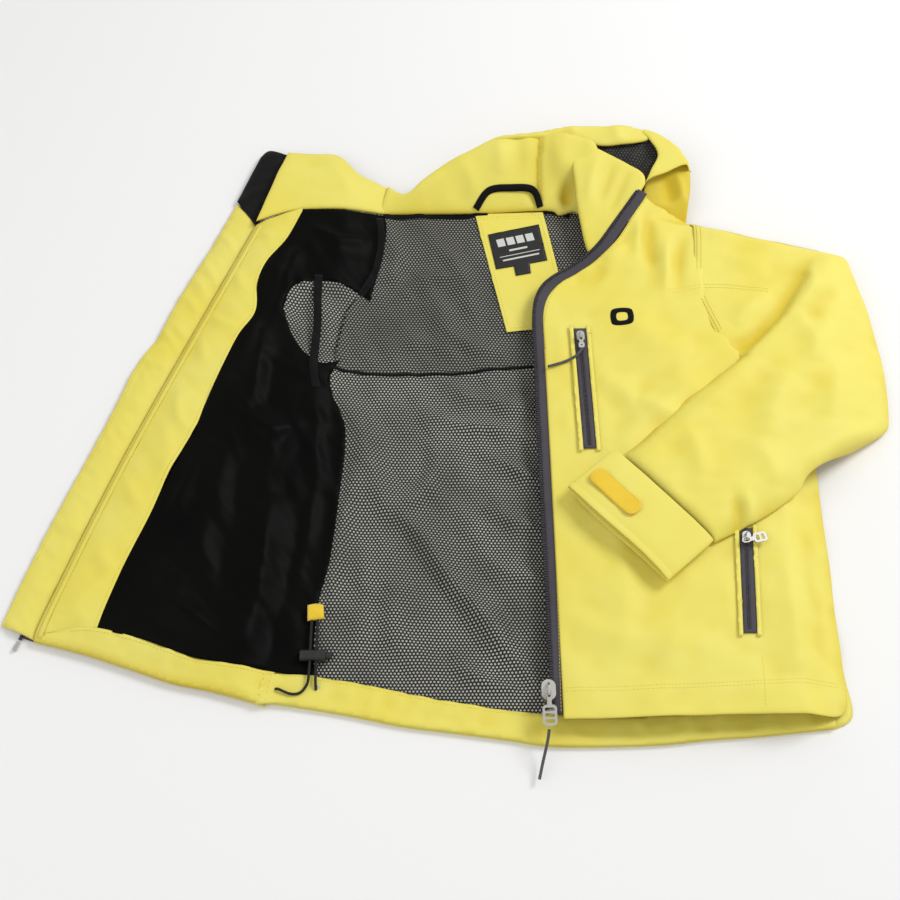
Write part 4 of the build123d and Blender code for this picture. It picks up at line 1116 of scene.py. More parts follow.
def build_facings():
    """The yellow facings of the open front and of the hem."""
    facing = outline(list(SEAM), [(-221, 230), (-171, 246)], BORDER,
                     [(-342, -247), (-366, -245), (-399, -249)], step=3.5)
    shell_panel("front_facing", facing, facing_height, "right_front", ["right_front_facing"], 0.8, step=3.5,
                rests_on="right_front_shell", round_edge=2.5, edge_drop=0.7)
    hem_right = outline(list(reversed(FRONT_HEM)), [(-399, -252), (-399, -249)], HEM_INNER[1:-1],
                        [(fold_x(-288, 6), -288), (fold_x(-316, 6), -316)], step=3.5)
    shell_panel("hem_facing_right", hem_right, hem_height, FOLD_BLEND, ["right_hem_facing"], 0.8, step=3.5,
                rests_on="right_front_shell")
    hem_left = outline(BACK_HEM, [(338, -338), (338, -313)], list(reversed(NET_LOW)),
                       [(-136, -288), (fold_x(-286, -2), -286)],
                       [(fold_x(-286, -2), -286), (fold_x(-316, -2), -316)], step=3.5)
    shell_panel("hem_facing_left", hem_left, hem_height, "jacket", ["back_hem_facing"], 0.8, step=3.5,
                rests_on="back_shell")


def build_flap_and_guard():
    """The wind flap and the chin guard of the open front."""
    flap = outline(list(SEAM), [(-221, 230), (-245, 265)], FLAP_EDGE, [(-433, -237), (-401, -252)], step=3.0)
    shell_panel("wind_flap", flap, flap_height, "right_front", ["right_wind_flap"], 1.2, step=3.0,
                rests_on="right_zip_tape", round_edge=5.0, edge_drop=2.6)
    guard = outline([(-245, 266), (-223, 328)], [(-223, 328), (-213, 338), (-192, 331)],
                    [(-192, 331), (-221, 231)], [(-221, 231), (-245, 266)], step=3.0)
    panel("chin_guard_cloth", guard, lambda x, y: 7.0 + 0.5 * crumple(x, y, 20, 12, 30, 6.1), "right_front",
          guard_cloth, "black_lining", ["chin_guard"], 1.4, step=3.0, rests_on="right_collar", round_edge=4.0,
          edge_drop=2.0)


def build_front_seams():
    """The stitches of the open front and of the hem, and the piping beside the zip's seam."""
    runs = [(offset_line(SEAM, -2.5), facing_height), (offset_line(SEAM, -9), facing_height),
            (offset_line(BORDER[::-1], 3), facing_height),
            (offset_line(FLAP_EDGE[::-1], -4.5), flap_height)]
    dashes("front_stitches", runs, "right_front")
    dashes("hem_stitches", [(offset_line(HEM_INNER[1:-1], -3), hem_height)], "right_front")
    dashes("hem_stitches_left", [(offset_line(NET_LOW, -3), hem_height)], "jacket")
    band("front_piping", offset_line(SEAM, -5.5), 2.6, raised(OPEN_FRONT.at, 6.6), "right_front",
         shell_cloth, "shell_cloth", (), 1.0, "front_facing", lines=True)


RIGHT_COLLAR_FOLDS = [
    ([(-205, 300), (-170, 290), (-130, 285)], 2.0, 14.0, 0.2),
    ([(-150, 318), (-130, 290), (-120, 262)], 2.5, 10.0, 0.3),
    ([(-180, 268), (-140, 262), (-100, 266)], 2.0, 9.0, 0.3),
]
BACK_COLLAR_FOLDS = [
    ([(-60, 262), (-40, 276), (-20, 292)], 3.0, 10.0, 0.3),
    ([(40, 322), (43, 300), (40, 284)], 3.0, 9.0, 0.3),
    ([(62, 330), (66, 300), (66, 277)], -2.5, 9.0, 0.3),
    ([(0, 300), (10, 280), (14, 262)], 2.5, 9.0, 0.3),
    ([(100, 322), (108, 290), (112, 262)], 3.0, 9.0, 0.3),
]


def back_collar_height(x, y):
    """The collar and the folded hood behind the neck, with its two upright creases."""
    base = BACK_COLLAR.at(x, y) + 1.8
    wave = folds(x, y, BACK_COLLAR_FOLDS) + 1.1 * crumple(x, y, 50, 18, 80, 9.3)
    distance, share, side = to_line(x, y, [(90, 345), (86, 298), (87, 250)])
    left_of = np.where(side < 0, 1.0, 0.0)
    crease = -7.0 * left_of * np.exp(-distance / 9) * ease(share * 3) * ease((1.2 - share) * 2.5)
    pocket = -11.0 * np.exp(-((x - 115) / 8) ** 2 - ((y - 262) / 16) ** 2)
    base = base + 8.0 * ease((x - 92) / 24) * ease((y - 270) / 24)
    top = ease((y - 246) / 22)
    return np.maximum(base + (wave + crease + pocket) * top, 7.5)


def left_collar_height(x, y):
    """The closed front's collar, with two creases down it."""
    base = LEFT_COLLAR.at(x, y) + 1.8
    marks = [([(165, 291), (158, 268), (148, 240)], -3.0, 6.0, 0.4),
             ([(181, 277), (170, 254), (158, 226)], -3.0, 6.0, 0.4),
             ([(150, 300), (140, 272), (136, 240)], 2.5, 7.0, 0.3)]
    return np.maximum(base + folds(x, y, marks) + 0.6 * crumple(x, y, 40, 14, 60, 3.7), 22.0)


HOOD_RIM = [(10, 312), (44, 331), (66, 343), (90, 348), (114, 354), (151, 356), (186, 355), (207, 349),
            (228, 336), (243, 320), (251, 302), (251, 280), (247, 262), (243, 240)]
HOOD_TOP = 33.0


def hood_height(x, y):
    """The hood's cloth behind the collar: level, and rolled down at its outer edge."""
    rim = to_line(x, y, HOOD_RIM)[0]
    crest = to_line(x, y, [(30, 322), (86, 327), (120, 323), (150, 308), (179, 289), (199, 270)])[0]
    marks = [([(60, 338), (66, 326)], 2.0, 8.0, 0.3), ([(120, 350), (126, 336)], 2.5, 7.0, 0.3),
             ([(170, 352), (174, 326)], 2.5, 8.0, 0.3)]
    wave = folds(x, y, marks) + 1.0 * crumple(x, y, 30, 14, 20, 13.1)
    level = np.where(x < 130, np.maximum(HOOD_TOP, 45.0 - 0.9 * crest), HOOD_TOP)
    roll = np.sqrt(1 - (1 - np.clip((rim + 0.5) / 7, 0, 1)) ** 2)
    return 5.0 + (level + wave - 5.0) * roll


def build_collar_and_hood():
    """The collar on both sides, and the hood folded back behind it."""
    collar = outline([(-192, 331), (-160, 328), (-135, 325), (-112, 298), (-90, 286), (-77, 280)],
                     [(-77, 280), (fold_x(247, 4), 247)], [(fold_x(247, 4), 247), (-171, 246), (-221, 231)],
                     [(-221, 231), (-192, 331)], step=4.0)

    def right_collar_height(x, y):
        wave = folds(x, y, RIGHT_COLLAR_FOLDS) + 0.8 * crumple(x, y, 40, 18, 20, 2.9)
        return RIGHT_COLLAR.at(x, y) + 6.0 + wave

    shell_panel("right_collar_cloth", collar, right_collar_height, FOLD_BLEND, ["right_collar"], 1.6,
                rests_on="back_shell", round_edge=5.0, edge_drop=3.0)
    back = outline([(fold_x(250, -4), 247), (15, 248), (92, 251), (107, 246), (124, 250), (133, 240)],
                   [(133, 240), (150, 290)], [(150, 290), (146, 312), (120, 324), (86, 329), (44, 329),
                                              (7, 312), (-17, 301), (-41, 283), (-60, 268), (-80, 282)],
                   step=3.5)
    shell_panel("collar_cloth", back, back_collar_height, "jacket", ["back_collar"], 1.4, step=3.5,
                held="folded", round_edge=5.0, edge_drop=3.0)
    left = outline([(119, 324), (120, 296), (123, 262), (124, 242), (131, 197), (138, 176)],
                   [(138, 176), (152, 190), (173, 218), (190, 248), (198, 262)],
                   [(198, 262), (196, 275), (179, 289), (150, 309), (119, 324)], step=3.0)
    shell_panel("left_collar_cloth", left, left_collar_height, "jacket", ["left_collar"], 1.4, step=3.0,
                held="folded", rests_on="back_collar", round_edge=4.0, edge_drop=3.0)
    crown = outline([(26, 318), (44, 331), (66, 343), (90, 348), (114, 354), (151, 356), (186, 355),
                     (207, 347)], [(207, 347), (206, 331), (176, 325), (153, 323), (130, 328), (118, 322),
                                   (86, 324), (44, 322)], step=3.0)
    shell_panel("hood_back", crown, hood_height, HOOD_BLEND, ["hood_crown"], 1.2, step=3.0, held="folded",
                rests_on="back_collar", round_edge=4.0, edge_drop=2.5)
    side = outline([(214, 304), (236, 312), (250, 304), (250, 276), (246, 252), (243, 228)],
                   [(243, 228), (215, 236), (196, 246)], [(196, 246), (197, 262), (203, 284), (214, 304)],
                   step=3.0)

    def side_height(x, y):
        marks = [([(236, 292), (240, 262), (238, 236)], 7.0, 6.0, 0.2),
                 ([(222, 288), (226, 250)], -3.0, 6.0, 0.3)]
        return np.minimum(21.0 + folds(x, y, marks), 2.0 + 0.9 * np.maximum(y - 228, 0))

    # painted shade: the hood's side is tinted deeper all over, as if it lay in the shadow of the brim
    shell_panel("hood_side", side, side_height, HOOD_BLEND, (), 1.2, step=3.0, held="folded",
                rests_on="left_collar", round_edge=4.0, edge_drop=2.5, shade=0.75)
    flap = outline([(203, 350), (207, 349), (228, 336), (243, 320), (251, 302), (251, 296)],
                   [(251, 296), (240, 294), (222, 284), (208, 278), (199, 271)],
                   [(199, 271), (206, 287), (215, 309), (208, 328), (200, 340)], step=3.0)
    shell_panel("hood_brim_cloth", flap, raised(hood_height, 1.5), HOOD_BLEND, ["hood_brim"], 1.2, step=3.0,
                held="folded", rests_on="back_collar", round_edge=3.0, edge_drop=2.0)
    mouth = outline([(104, 318), (150, 340), (176, 342), (208, 344)], [(208, 344), (226, 314), (222, 286)],
                    [(222, 286), (200, 262), (172, 276), (140, 292), (104, 318)], step=3.0)
    panel("hood_mesh", mouth, lambda x, y: 17.0 + 0.2 * (y - 280) + 2.5 * crumple(x, y, 20, 9, 30, 1.7),
          HOOD_BLEND, dark_mesh, "mesh_lining", ["hood_lining"], 0.6, step=3.0, held="folded",
          rests_on="back_collar")


# Closed left front
CHEST_TOP, CHEST_LOW = (121.0, 84.0), (125.5, -58.0)
HAND_TOP, HAND_LOW = (269.5, -148.0), (263.5, -256.0)
NECK_EDGE = [(85, 62), (84, 98), (87, 119), (94, 134), (105, 146), (122, 157), (139, 169), (159, 189),
             (180, 219), (199, 248)]
CHEST_FOLDS = [
    ([(149, 168), (160, 178), (174, 190)], 3.0, 7.0, 0.4),
    ([(116, 152), (136, 148), (150, 164)], -3.0, 7.0, 0.4),
    ([(192, 226), (188, 200), (184, 180)], 4.5, 8.0, 0.4),
    ([(199, 224), (198, 190), (200, 162)], -4.0, 7.0, 0.4),
    ([(217, 196), (215, 160), (211, 126)], 4.5, 9.0, 0.4),
    ([(236, 200), (228, 170), (226, 140)], -3.0, 8.0, 0.3),
    ([(176, 0), (205, -19), (222, -18)], 3.5, 12.0, 0.2),
    ([(139, 27), (162, 8), (177, -38)], 2.5, 13.0, 0.2),
    ([(150, -60), (190, -20), (236, 26)], 3.0, 14.0, 0.2),
    ([(150, 120), (190, 70), (236, 50)], 3.0, 22.0, 0.1),
    ([(130, -100), (150, -180), (148, -280)], 2.5, 16.0, 0.2),
    ([(100, -240), (160, -262), (230, -262)], 2.5, 16.0, 0.2),
    ([(170, -330), (190, -280), (196, -225)], 2.0, 15.0, 0.2),
    ([(300, -300), (306, -230), (300, -170)], 3.0, 16.0, 0.2),
    ([(330, -290), (332, -210), (330, -140)], -2.0, 10.0, 0.2),
]


def chest_height(x, y):
    """The closed front's face."""
    wave = 1.5 * folds(x, y, CHEST_FOLDS) + 1.8 * crumple(x, y, 90, 36, -40, 21.3)
    wave = wave + 0.6 * crumple(x, y, 24, 14, 30, 8.8)
    calm = ease((x - 84) / 22)
    for top, low in ((CHEST_TOP, CHEST_LOW), (HAND_TOP, HAND_LOW)):
        calm = calm * ease((to_line(x, y, [top, low])[0] - 7) / 14)
    base = CLOSED_FRONT.at(x, y) + 1.3
    along_zip = to_line(x, y, NECK_EDGE[4:])[0]
    to_collar = LEFT_COLLAR.at(x, y) + 1.6 - 0.72 * along_zip
    near_collar = ease((y - 140) / 40)
    base = 3.0 * np.logaddexp(base / 3.0, to_collar / 3.0) * near_collar + base * (1 - near_collar)
    shoulder = ease((to_line(x, y, [(203, 249), (222, 246), (262, 234)])[0] + 1.5) / 9)
    return 2.5 + (base + np.maximum(wave * calm, -2.5) - 2.5) * shoulder


def slot_loop(top, low, half):
    """The long narrow outline of a pocket's opening."""
    return polygon((top[0] - half, top[1]), (top[0] + half, top[1]), (low[0] + half, low[1]),
                   (low[0] - half, low[1]), step=3.0)


def build_left_front():
    """The left front's shell, facing and lining, its stitches and chest mark."""
    shell = outline([(90, -333), (84.5, 62)], NECK_EDGE, [(199, 248), (222, 244), (250, 234)],
                    [(256, 231), (256, 204), (252, 137), (255, 117), (274, 62)],
                    [(274, 62), (300, 40), (350, 30)], [(350, 30), (351, -125), (351, -222), (352, -302)],
                    [(352, -302), (338, -330), (246, -333), (142, -336), (90, -336)], step=3.5)
    seam_line = np.array(spline([(214, 128), (232, 133), (250, 136)], 3.0))[1:-1]
    shell_panel("left_front_cloth", shell, chest_height, "jacket", ["left_front_shell"], 0.9, step=3.5,
                lines=[seam_line], rests_on="left_front_lining", round_edge=3.0, edge_drop=1.6)
    facing = polygon((97, -329), (92, 88), (140, 88), (143, -329), step=8.0)
    shell_panel("left_facing_cloth", facing, raised(CLOSED_FRONT.at, -4.3), "jacket", ["left_front_facing"],
                0.8, step=8.0)
    lining = outline([(145, -312), (142, 90)], [(142, 90), (200, 170), (228, 190)],
                     [(228, 190), (228, 137), (255, 50)], [(255, 50), (322, 26)],
                     [(322, 26), (322, -308)], [(322, -308), (145, -312)], step=8.0)
    panel("left_lining_mesh", lining, raised(CLOSED_FRONT.at, -4.4), "jacket", mesh_cloth,
          "mesh_lining", ["left_front_lining"], 0.6, step=8.0)
    hem_line = [(92, -307), (142, -307), (246, -303), (345, -298)]
    rows = ([(88, -330), (88, -150), (84.5, 62), (86, 100), (96, 134), (110, 148), (140, 168), (162, 190),
             (184, 222), (200, 246)], hem_line, offset_line(hem_line, -3.5),
            [(214, 126), (232, 130), (250, 133)], [(214, 130), (232, 134), (250, 137)],
            [(273, -277), (272, -304), (271, -329)])
    dashes("chest_stitches", [(row, chest_height) for row in rows], "jacket")
    mark = outline([(153, 97), (155, 106), (165, 108), (175, 106), (177, 97)],
                   [(177, 97), (175, 88), (165, 86), (155, 88), (153, 97)], step=1.5)
    opening = outline([(159, 97), (160, 101.5), (165, 102.5), (170, 101.5), (171, 97)],
                      [(171, 97), (170, 92.5), (165, 91.5), (160, 92.5), (159, 97)], step=1.5)
    panel("chest_mark", mark, raised(chest_height, 0.45), "jacket", black_tape, "label_cloth", (),
          0.5, step=2.0, holes=[opening], rests_on="left_front_cloth")


# Left sleeve
CREASE = [(153, -70), (175, -53), (222, -5), (277, 40), (326, 94), (357, 147)]
SLEEVE_FOLDS = [
    ([(192, -60), (214, -38), (250, -6), (290, 28)], 3.0, 14.0, 0.2),
    ([(219, -44), (228, -72), (229, -100)], 3.0, 12.0, 0.3),
    ([(259, -120), (262, -142), (256, -165)], -4.0, 6.0, 0.5),
    ([(270, -118), (274, -136), (270, -158)], 3.0, 7.0, 0.3),
    ([(300, -110), (296, -80), (280, -60)], 2.5, 12.0, 0.2),
    ([(376, 30), (372, -6), (360, -34)], 3.0, 14.0, 0.2),
    ([(326, 20), (306, -20), (298, -56)], 3.0, 16.0, 0.2),
    ([(352, 70), (366, 100), (388, 128)], -3.0, 12.0, 0.2),
    ([(340, 100), (360, 124), (366, 158)], 3.5, 9.0, 0.4),
    ([(344, 92), (356, 60), (350, 30)], 3.0, 12.0, 0.2),
    ([(277, 172), (300, 164), (326, 156)], 2.0, 14.0, 0.2),
    ([(262, 206), (300, 196), (350, 186)], 2.5, 16.0, 0.1),
    ([(278, 84), (296, 108), (322, 130)], 3.5, 12.0, 0.3),
    ([(268, 60), (292, 66), (310, 84)], -3.0, 8.0, 0.2),
]


def sleeve_height(x, y):
    """The sleeve's face: the cap, and the forearm lying over it past the crease."""
    cap = SLEEVE_CAP.at(x, y) + 1.8
    over = SLEEVE_OVER.at(x, y) + 1.4
    distance, _, side = to_line(x, y, CREASE)
    past = -side * distance
    step = ease((past + 0.5) / 7) * ease((196 - y) / 56)
    wave = 1.5 * folds(x, y, SLEEVE_FOLDS) + 2.0 * crumple(x, y, 80, 34, 45, 31.7)
    wave = wave + 0.6 * crumple(x, y, 26, 14, 10, 4.1)
    calm = ease((to_line(x, y, [(153, -70), (238, -165)])[0]) / 14)
    return cap + (over - cap) * step + wave * np.maximum(calm, 0.1)


def sleeve_under_height(x, y):
    """The underside of the left sleeve, on the chest and the floor."""
    return np.minimum(SLEEVE_UNDER.at(x, y), sleeve_height(x, y) - 2.4)


def pillow(name, loop, top, bottom, body, finish, stands_for, step, round_edge):
    """A flattened bag of cloth: a face and an underside that meet at the outline."""
    rings = (0.1 * round_edge, 0.3 * round_edge, 0.65 * round_edge)
    plan, faces, area = plan_mesh(loop, step, rings=rings)
    x, y = plan[:, 0], plan[:, 1]
    edge = to_edge(x, y, loop)
    depth = np.clip(edge / round_edge, 0, 1)
    swell = np.sqrt(1 - (1 - depth) ** 2)
    high, low = top(x, y), bottom(x, y)
    seam = 0.35 * high + 0.65 * low
    face = seam + (high - seam) * swell
    under = seam + (low - seam) * swell
    border = np.flatnonzero(edge < 1e-3)
    below = np.arange(len(plan)) + len(plan)
    below[border] = border
    points = np.vstack([np.column_stack([x, y, face]), np.column_stack([x, y, under])])
    all_faces = np.vstack([faces, below[faces][:, ::-1]])
    used, compact = np.unique(all_faces, return_inverse=True)
    piece = mesh_object(name, points[used], compact.reshape(-1, 3), finish)
    # painted shade: deeper colour in the sleeve's hollows
    mark_hollow_shade(piece, points[used], compact.reshape(-1, 3))
    settle(piece, body, stands_for)
    declare(loop, area, surface_area(points, all_faces) / 2)


def build_left_sleeve():
    """The left sleeve over the chest, its cuff and the strap on the cuff."""
    loop = outline([(247, 232), (247, 204), (243, 137), (246, 117), (264, 66), (280, 50)],
                   [(280, 50), (277, 40), (222, -5), (175, -53), (153, -70)], [(153, -70), (238, -165)],
                   [(238, -165), (286, -139), (322, -112), (341, -86), (409, -40)],
                   [(409, -40), (426, -26), (431, -6), (433, 40), (430, 81), (425, 121), (417, 152),
                    (410, 184), (398, 195), (365, 205), (326, 217), (276, 229), (247, 234)], step=3.5)
    pillow("left_sleeve", loop, sleeve_height, sleeve_under_height, "jacket", shell_cloth,
           ["left_sleeve_top", "left_sleeve_under"], 3.5, 9.0)
    rows = ([(250, 228), (250, 204), (246, 140), (249, 118), (264, 74)],
            [(254, 228), (254, 204), (250, 140), (253, 118), (266, 78)],
            [(252, 137), (276, 137), (318, 131)],
            [(252, 133), (276, 133), (318, 127)])
    runs = [(row, raised(sleeve_height, 0.1)) for row in rows]
    dashes("sleeve_stitches", runs, "jacket")
    cuff("left_cuff_cloth", (146.0, -157.0), (0.669, -0.743), (0.743, 0.669), 67.0, 30.0, 14.0, "jacket",
         "left_cuff")
    build_strap()


def cuff(name, edge, side, way, half, bottom, height, body, node):
    """A cuff laid flat: its outer face, the rolled rim and the inside that shows in its mouth."""
    middle = bottom + height / 2
    count = 72
    walls = [(36, 2.4), (18, 2.2), (4, 1.8), (0.8, 1.2), (0, 0.6), (0.4, 0.1), (2.0, -0.2), (5.5, -0.1),
             (7, 0.35), (8.5, -0.1), (20, 0.0), (36, 0.0), (50, 0.0), (58, 0.3), (62, 0.8)]
    rings = []
    for s, thinner in walls:
        ring = []
        for i in range(count):
            angle = 2 * math.pi * i / count
            c, sn = math.cos(angle), math.sin(angle)
            w = (half - thinner) * math.copysign(abs(c) ** 0.8, c)
            z = (height / 2 - thinner) * math.copysign(abs(sn) ** 0.75, sn)
            ripple = 0.7 * noise.noise(Vector((w / 16, s / 20, sn))) * (abs(sn) > 0.3)
            sag = 1.6 * math.sin(w / 21.0) * math.exp(-s / 26)
            x = edge[0] + side[0] * w + way[0] * (s + sag * 0.6)
            y = edge[1] + side[1] * w + way[1] * (s + sag * 0.6)
            ring.append((x, y, middle + z + ripple))
        rings.append(ring)
    piece = tube(name, rings, shell_cloth, body, [node])


def build_strap():
    """The cuff's loop strap: a rounded tab with a stitched rim, on the cuff."""
    middle = middle_of("cuff_loop_patch") / MM
    side, way = np.array((0.669, -0.743)), np.array((0.743, 0.669))
    centre = np.array((middle.x, middle.y))
    corner = 8.0
    half_long, half_wide = 30.0, 9.5
    loop = []
    turns = (
        (half_long - corner, half_wide - corner, 0),
        (-half_long + corner, half_wide - corner, 90),
        (-half_long + corner, -half_wide + corner, 180),
        (half_long - corner, -half_wide + corner, 270),
    )
    for cx, cy, start in turns:
        for i in range(6):
            angle = math.radians(start + 18 * i)
            place = (cx + corner * math.cos(angle), cy + corner * math.sin(angle))
            loop.append(centre + side * place[0] + way * place[1])
    loop = outline([tuple(p) for p in loop], step=2.0)
    base = top_of("cuff_loop_patch")

    def strap_height(x, y):
        run = (x - centre[0]) * side[0] + (y - centre[1]) * side[1]
        return base + 1.0 + 2.2 * ease((run - 8) / 24) + 0.4 * crumple(x, y, 14, 10, 0, 3.3)

    panel("cuff_strap", loop, strap_height, "jacket", patch_cloth, "loop_patch", ["cuff_loop_patch"], 1.0,
          step=2.5, rests_on="left_cuff", round_edge=2.0, edge_drop=0.8)
    rim = [tuple(centre + (p - centre) * 0.87) for p in loop]
    dashes("strap_stitches", [(rim[::3] + rim[:1], strap_height)], "jacket", 2.0, 0.8)


# Right sleeve, under the open front
ARM_START = (-140, 100)
ARM_WAY = (-0.471, -0.882)
ARM_SIDE = (0.882, -0.471)
ARM_LENGTH = 329  # from the armhole to the cuff's rim
SLEEVE_TOP = 38  # runs down the arm where the sleeve begins, reaches its full width and ends
SLEEVE_FULL = 173
SLEEVE_END = 268
SLEEVE_TOP_HALF = 12
SLEEVE_HALF = 56


def along_arm(run, across=0.0):
    """The plan point a run down the right sleeve from its start, and a way across it."""
    return (ARM_START[0] + ARM_WAY[0] * run + ARM_SIDE[0] * across,
            ARM_START[1] + ARM_WAY[1] * run + ARM_SIDE[1] * across)


def build_right_sleeve():
    """The right sleeve lying flat under the open front, and its cuff."""
    rings = []
    count = 48
    for s in np.linspace(SLEEVE_TOP, SLEEVE_END, 34):
        right = np.interp(s, [SLEEVE_TOP, SLEEVE_FULL, SLEEVE_END],
                          [SLEEVE_TOP_HALF, SLEEVE_HALF, SLEEVE_HALF])
        middle_w, half = (right - SLEEVE_HALF) / 2, (right + SLEEVE_HALF) / 2
        ring = []
        for i in range(count):
            angle = 2 * math.pi * i / count
            c, sn = math.cos(angle), math.sin(angle)
            w = middle_w + half * math.copysign(abs(c) ** 0.85, c)
            ripple = 0.5 * noise.noise(Vector((w / 20, s / 26, 4 + sn)))
            z = 5.5 + 4.9 * math.copysign(abs(sn) ** 0.8, sn) + ripple
            ring.append((*along_arm(s, w), max(z, 0.3)))
        rings.append(ring)
    piece = tube("right_sleeve", rings, shell_cloth, "right_front",
                 ["right_sleeve_upper", "right_sleeve_lower"])
    thicken(piece, 0.6)
    cuff("right_cuff_cloth", along_arm(ARM_LENGTH), ARM_SIDE, (-ARM_WAY[0], -ARM_WAY[1]), 60.0, 0.9, 9.2,
         "right_front", "right_cuff")


# Zips
ZIP_LOW, ZIP_HIGH = (86.5, -331.0), (80.5, 62.0)
ZIP_NECK = [(80.5, 62), (79.5, 98), (82, 121), (89, 137), (100, 149), (117, 160), (134, 172), (152, 190),
            (173, 220), (194, 250)]


def teeth(name, path, height, pitch, width, depth, body, stands_for=()):
    """A row of small moulded zip teeth along a plan path."""
    line = np.array(spline(path, 2.0))
    reach = lengths_along(line)
    points, faces = [], []
    for s in np.arange(pitch / 2, reach[-1], pitch):
        x, y = np.interp(s, reach, line[:, 0]), np.interp(s, reach, line[:, 1])
        ahead = (np.interp(s + 1, reach, line[:, 0]), np.interp(s + 1, reach, line[:, 1]))
        behind = (np.interp(s - 1, reach, line[:, 0]), np.interp(s - 1, reach, line[:, 1]))
        way = np.array(ahead) - np.array(behind)
        way /= max(np.linalg.norm(way), 1e-6)
        across = np.array((-way[1], way[0]))
        z = float(height(np.array([x]), np.array([y]))[0])
        base = len(points)
        half_long = 0.36 * pitch
        for level, shrink in ((0.0, 1.0), (0.7 * depth, 1.0), (depth, 0.66)):
            for u, v in ((-1, -1), (1, -1), (1.0, 1), (-1, 1)):
                place = np.array((x, y)) + way * u * half_long * shrink + across * v * width / 2 * shrink
                points.append((place[0], place[1], z + level))
        for ring in (0, 4):
            for i in range(4):
                j = (i + 1) % 4
                faces.append((base + ring + i, base + ring + j, base + ring + 4 + j, base + ring + 4 + i))
        faces += [(base + 8, base + 9, base + 10, base + 11), (base + 3, base + 2, base + 1, base)]
    settle(mesh_object(name, points, faces, tooth_grey, smooth=False), body, stands_for)


MAIN_TAPE_LEVEL = 20.9
MAIN_TAPE_HALF = 5.6
POCKET_TAPE_HALF = 6.8
RIGHT_TAPE_HALF = 5.5
RIGHT_TAPE_OUT = 6.5  # from the open front's seam to the middle of its tape
RIGHT_TEETH_OUT = 14.4
WELT_OUT = 8.6  # from a pocket's zip to the middle of each welt
WELT_HALF = 2.0


def build_zips():
    """Tapes and teeth of the main zip's halves and of the pockets' zips."""

    def tape_height(x, y):
        on_collar = np.maximum(left_collar_height(x, y) + 0.9, MAIN_TAPE_LEVEL)
        rise = (on_collar - MAIN_TAPE_LEVEL) * ease((y - 158) / 18)
        return MAIN_TAPE_LEVEL + rise + 0.2 * crumple(x, y, 12, 6, 90, 2.2)

    way = np.array(ZIP_HIGH) - np.array(ZIP_LOW)
    straight = [(ZIP_LOW[0] + 0.6, ZIP_LOW[1]), (ZIP_HIGH[0] + 0.6, ZIP_HIGH[1] - 4)]
    path = [straight[0], (straight[0][0] + way[0] * 0.5, straight[0][1] + way[1] * 0.5), *ZIP_NECK]
    panel("main_zip_tape", band_loop(path, MAIN_TAPE_HALF), tape_height, "jacket", zip_tape, "zip_tape",
          ["left_zip_tape"], 0.7, step=3.0, rests_on="left_front_shell")
    chain = [(80.6, -320), (77.0, -120), (74.8, 58), (74.4, 96), (76.8, 122), (84.5, 141), (97, 154),
             (114, 165), (130, 177), (147, 194), (168, 223), (189, 252)]
    teeth("main_zip_teeth", chain, raised(tape_height, -1.6), 2.6, 3.4, 2.9, "jacket",
          ["left_zip_chain"])
    tape_line = [(x - RIGHT_TAPE_OUT, y) for x, y in SEAM]
    band("right_tape", tape_line, RIGHT_TAPE_HALF, level_at(1.75), "right_front", zip_tape, "zip_tape",
         ["right_zip_tape"], 0.7, "right_wind_flap")
    chain_line = [(x - RIGHT_TEETH_OUT, y) for x, y in SEAM]
    teeth("right_teeth", chain_line, level_at(0.25), 2.6, 3.0, 2.7, "right_front",
          ["right_zip_chain"])
    for name, top, low in (("chest", CHEST_TOP, CHEST_LOW), ("left_hand", HAND_TOP, HAND_LOW)):
        node = f"{name}_zip_tape"
        level = top_of(node) - 0.8
        loop = slot_loop(top, low, POCKET_TAPE_HALF)
        panel(f"{name}_tape", loop, level_at(level), "jacket", zip_tape, "zip_tape", [node], 0.7, step=3.0,
              rests_on="left_front_shell")
        for letter, side in (("a", -0.9), ("b", 0.9)):
            path = [(top[0] + side, top[1] - 2), (low[0] + side, low[1] + 4)]
            teeth(f"{name}_coil_{letter}", path, level_at(level), 1.5, 1.6, 0.75, "jacket")
        for letter, out in (("a", -WELT_OUT), ("b", WELT_OUT)):
            path = [(top[0] + out, top[1] + 3), (low[0] + out, low[1] - 3)]
            band(f"{name}_welt_{letter}", path, WELT_HALF, level_at(level + 1.0), "jacket", shell_cloth,
                 "shell_cloth", (), 1.0, "left_front_cloth", lines=True)
    low_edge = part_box("right_hand_zip_tape")[0].z / MM
    top, low = (-192.0, -122.0), (-228.0, -230.0)
    band("right_hand_tape", [top, low], POCKET_TAPE_HALF, level_at(low_edge + 1.6), "right_front", zip_tape,
         "zip_tape", ["right_hand_zip_tape"], 0.7, "right_front_shell")


# Pockets and small trims
def build_bags():
    """The pocket bags: thin pouches between shell and lining."""
    for name, node, drape, lift, near, far, body in (
            ("chest_bag", "chest_pocket_bag", CLOSED_FRONT, -1.6, (131, 92), (210, -66), "jacket"),
            ("left_hand_bag", "left_hand_pocket_bag", CLOSED_FRONT, -1.6, (256, -146), (176, -262), "jacket"),
            ("right_hand_bag", "right_hand_pocket_bag", OPEN_FRONT, 2.9, (-232, -130), (-300, -232),
             "right_front")):
        loop = polygon(near, (far[0], near[1]), far, (near[0], far[1]), step=6.0)
        panel(name, loop, raised(drape.at, lift), body, mesh_cloth,
              "mesh_lining", [node], 1.2, step=6.0, rests_on="left_front_shell")


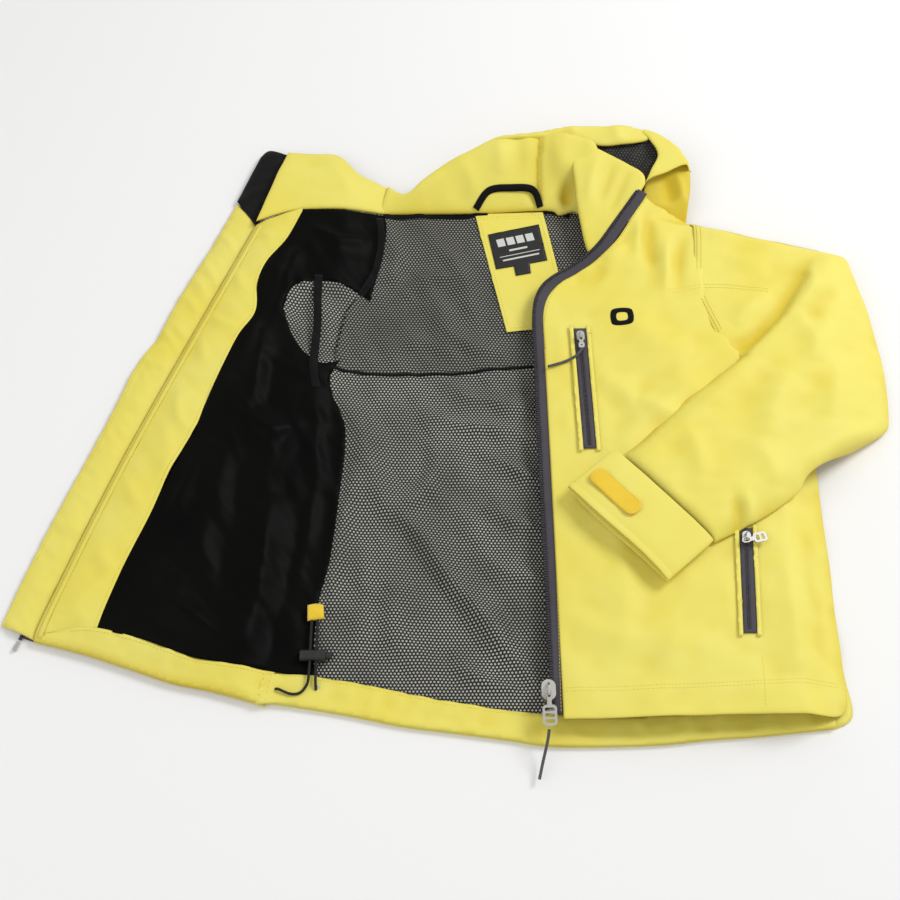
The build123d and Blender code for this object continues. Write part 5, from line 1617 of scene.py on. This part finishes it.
def build_cord_tab():
    """The yellow tab that holds the drawcord's loop."""
    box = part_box("drawcord_tab")
    low, high = box[0] / MM, box[1] / MM
    loop = outline([(-146, -219), (-138, -217), (-131, -218.5)], [(-129.5, -233), (-145.5, -235)], step=2.0)

    def tab_height(x, y):
        share = np.clip((y - low.y) / (high.y - low.y), 0, 1)
        return high.z - 1.0 + 2.2 * np.sin(np.pi * share) + 0.3 * crumple(x, y, 8, 8, 0, 1.1)

    panel("drawcord_loop", loop, tab_height, "jacket", patch_cloth, "loop_patch", ["drawcord_tab"], 1.4,
          step=2.0, rests_on="side_lining", round_edge=2.5, edge_drop=1.6)


def finish_fittings():
    """Finishes for the metal and plastic parts that stay as the frame has them."""
    finishes = {"hem_eyelets": eyelet_metal, "cordlock_barrel": black_plastic,
                "cordlock_plunger": black_plastic, "cordlock_spring": spring_metal,
                "zip_retaining_box": grey_metal, "right_zip_pin": grey_metal}
    for zip_name in ("main", "chest", "left_hand", "right_hand"):
        finishes[f"{zip_name}_slider"] = grey_metal
        finishes[f"{zip_name}_pull"] = grey_metal
    for node, finish in finishes.items():
        for kept in nodes[node].material_slots:
            kept.material = finish


# Stage
FLOOR_HALF = 6.0
FLOOR_DROP = 0.0005
SKY_STRENGTH = 0.60
LAMPS = (  # name, place, size and power
    ("key", (1.7, 0.9, 1.9), 1.0, 36),
    ("fill", (-1.3, -0.9, 1.5), 1.6, 8),
)


def build_stage():
    """A pale floor and soft studio light."""
    mesh = bpy.data.meshes.new("floor")
    half = FLOOR_HALF
    mesh.from_pydata([(-half, -half, 0), (half, -half, 0), (half, half, 0), (-half, half, 0)], [],
                     [(0, 1, 2, 3)])
    mesh.materials.append(material("floor", grey(0.9), 0.9))
    floor = shown("floor", mesh)
    floor.location.z = -FLOOR_DROP
    world = bpy.data.worlds.new("studio")
    world.use_nodes = True
    sky = world.node_tree.nodes["Background"]
    sky.inputs["Color"].default_value = (1.0, 0.995, 0.985, 1)
    sky.inputs["Strength"].default_value = SKY_STRENGTH
    bpy.context.scene.world = world
    for name, place, size, power in LAMPS:
        data = bpy.data.lights.new(name, "AREA")
        data.size = size
        data.energy = power
        lamp = shown(name, data)
        lamp.location = place
        lamp.rotation_mode = "QUATERNION"
        lamp.rotation_quaternion = (CAMERA_TARGET - Vector(place)).to_track_quat("-Z", "Y")
    bpy.context.scene.view_settings.view_transform = "Standard"


build_linings()
build_inner_trims()
build_shells()
build_facings()
build_flap_and_guard()
build_front_seams()
build_collar_and_hood()
build_left_front()
build_left_sleeve()
build_right_sleeve()
build_zips()
build_bags()
build_cord_tab()
finish_fittings()
build_stage()

bpy.context.view_layer.update()
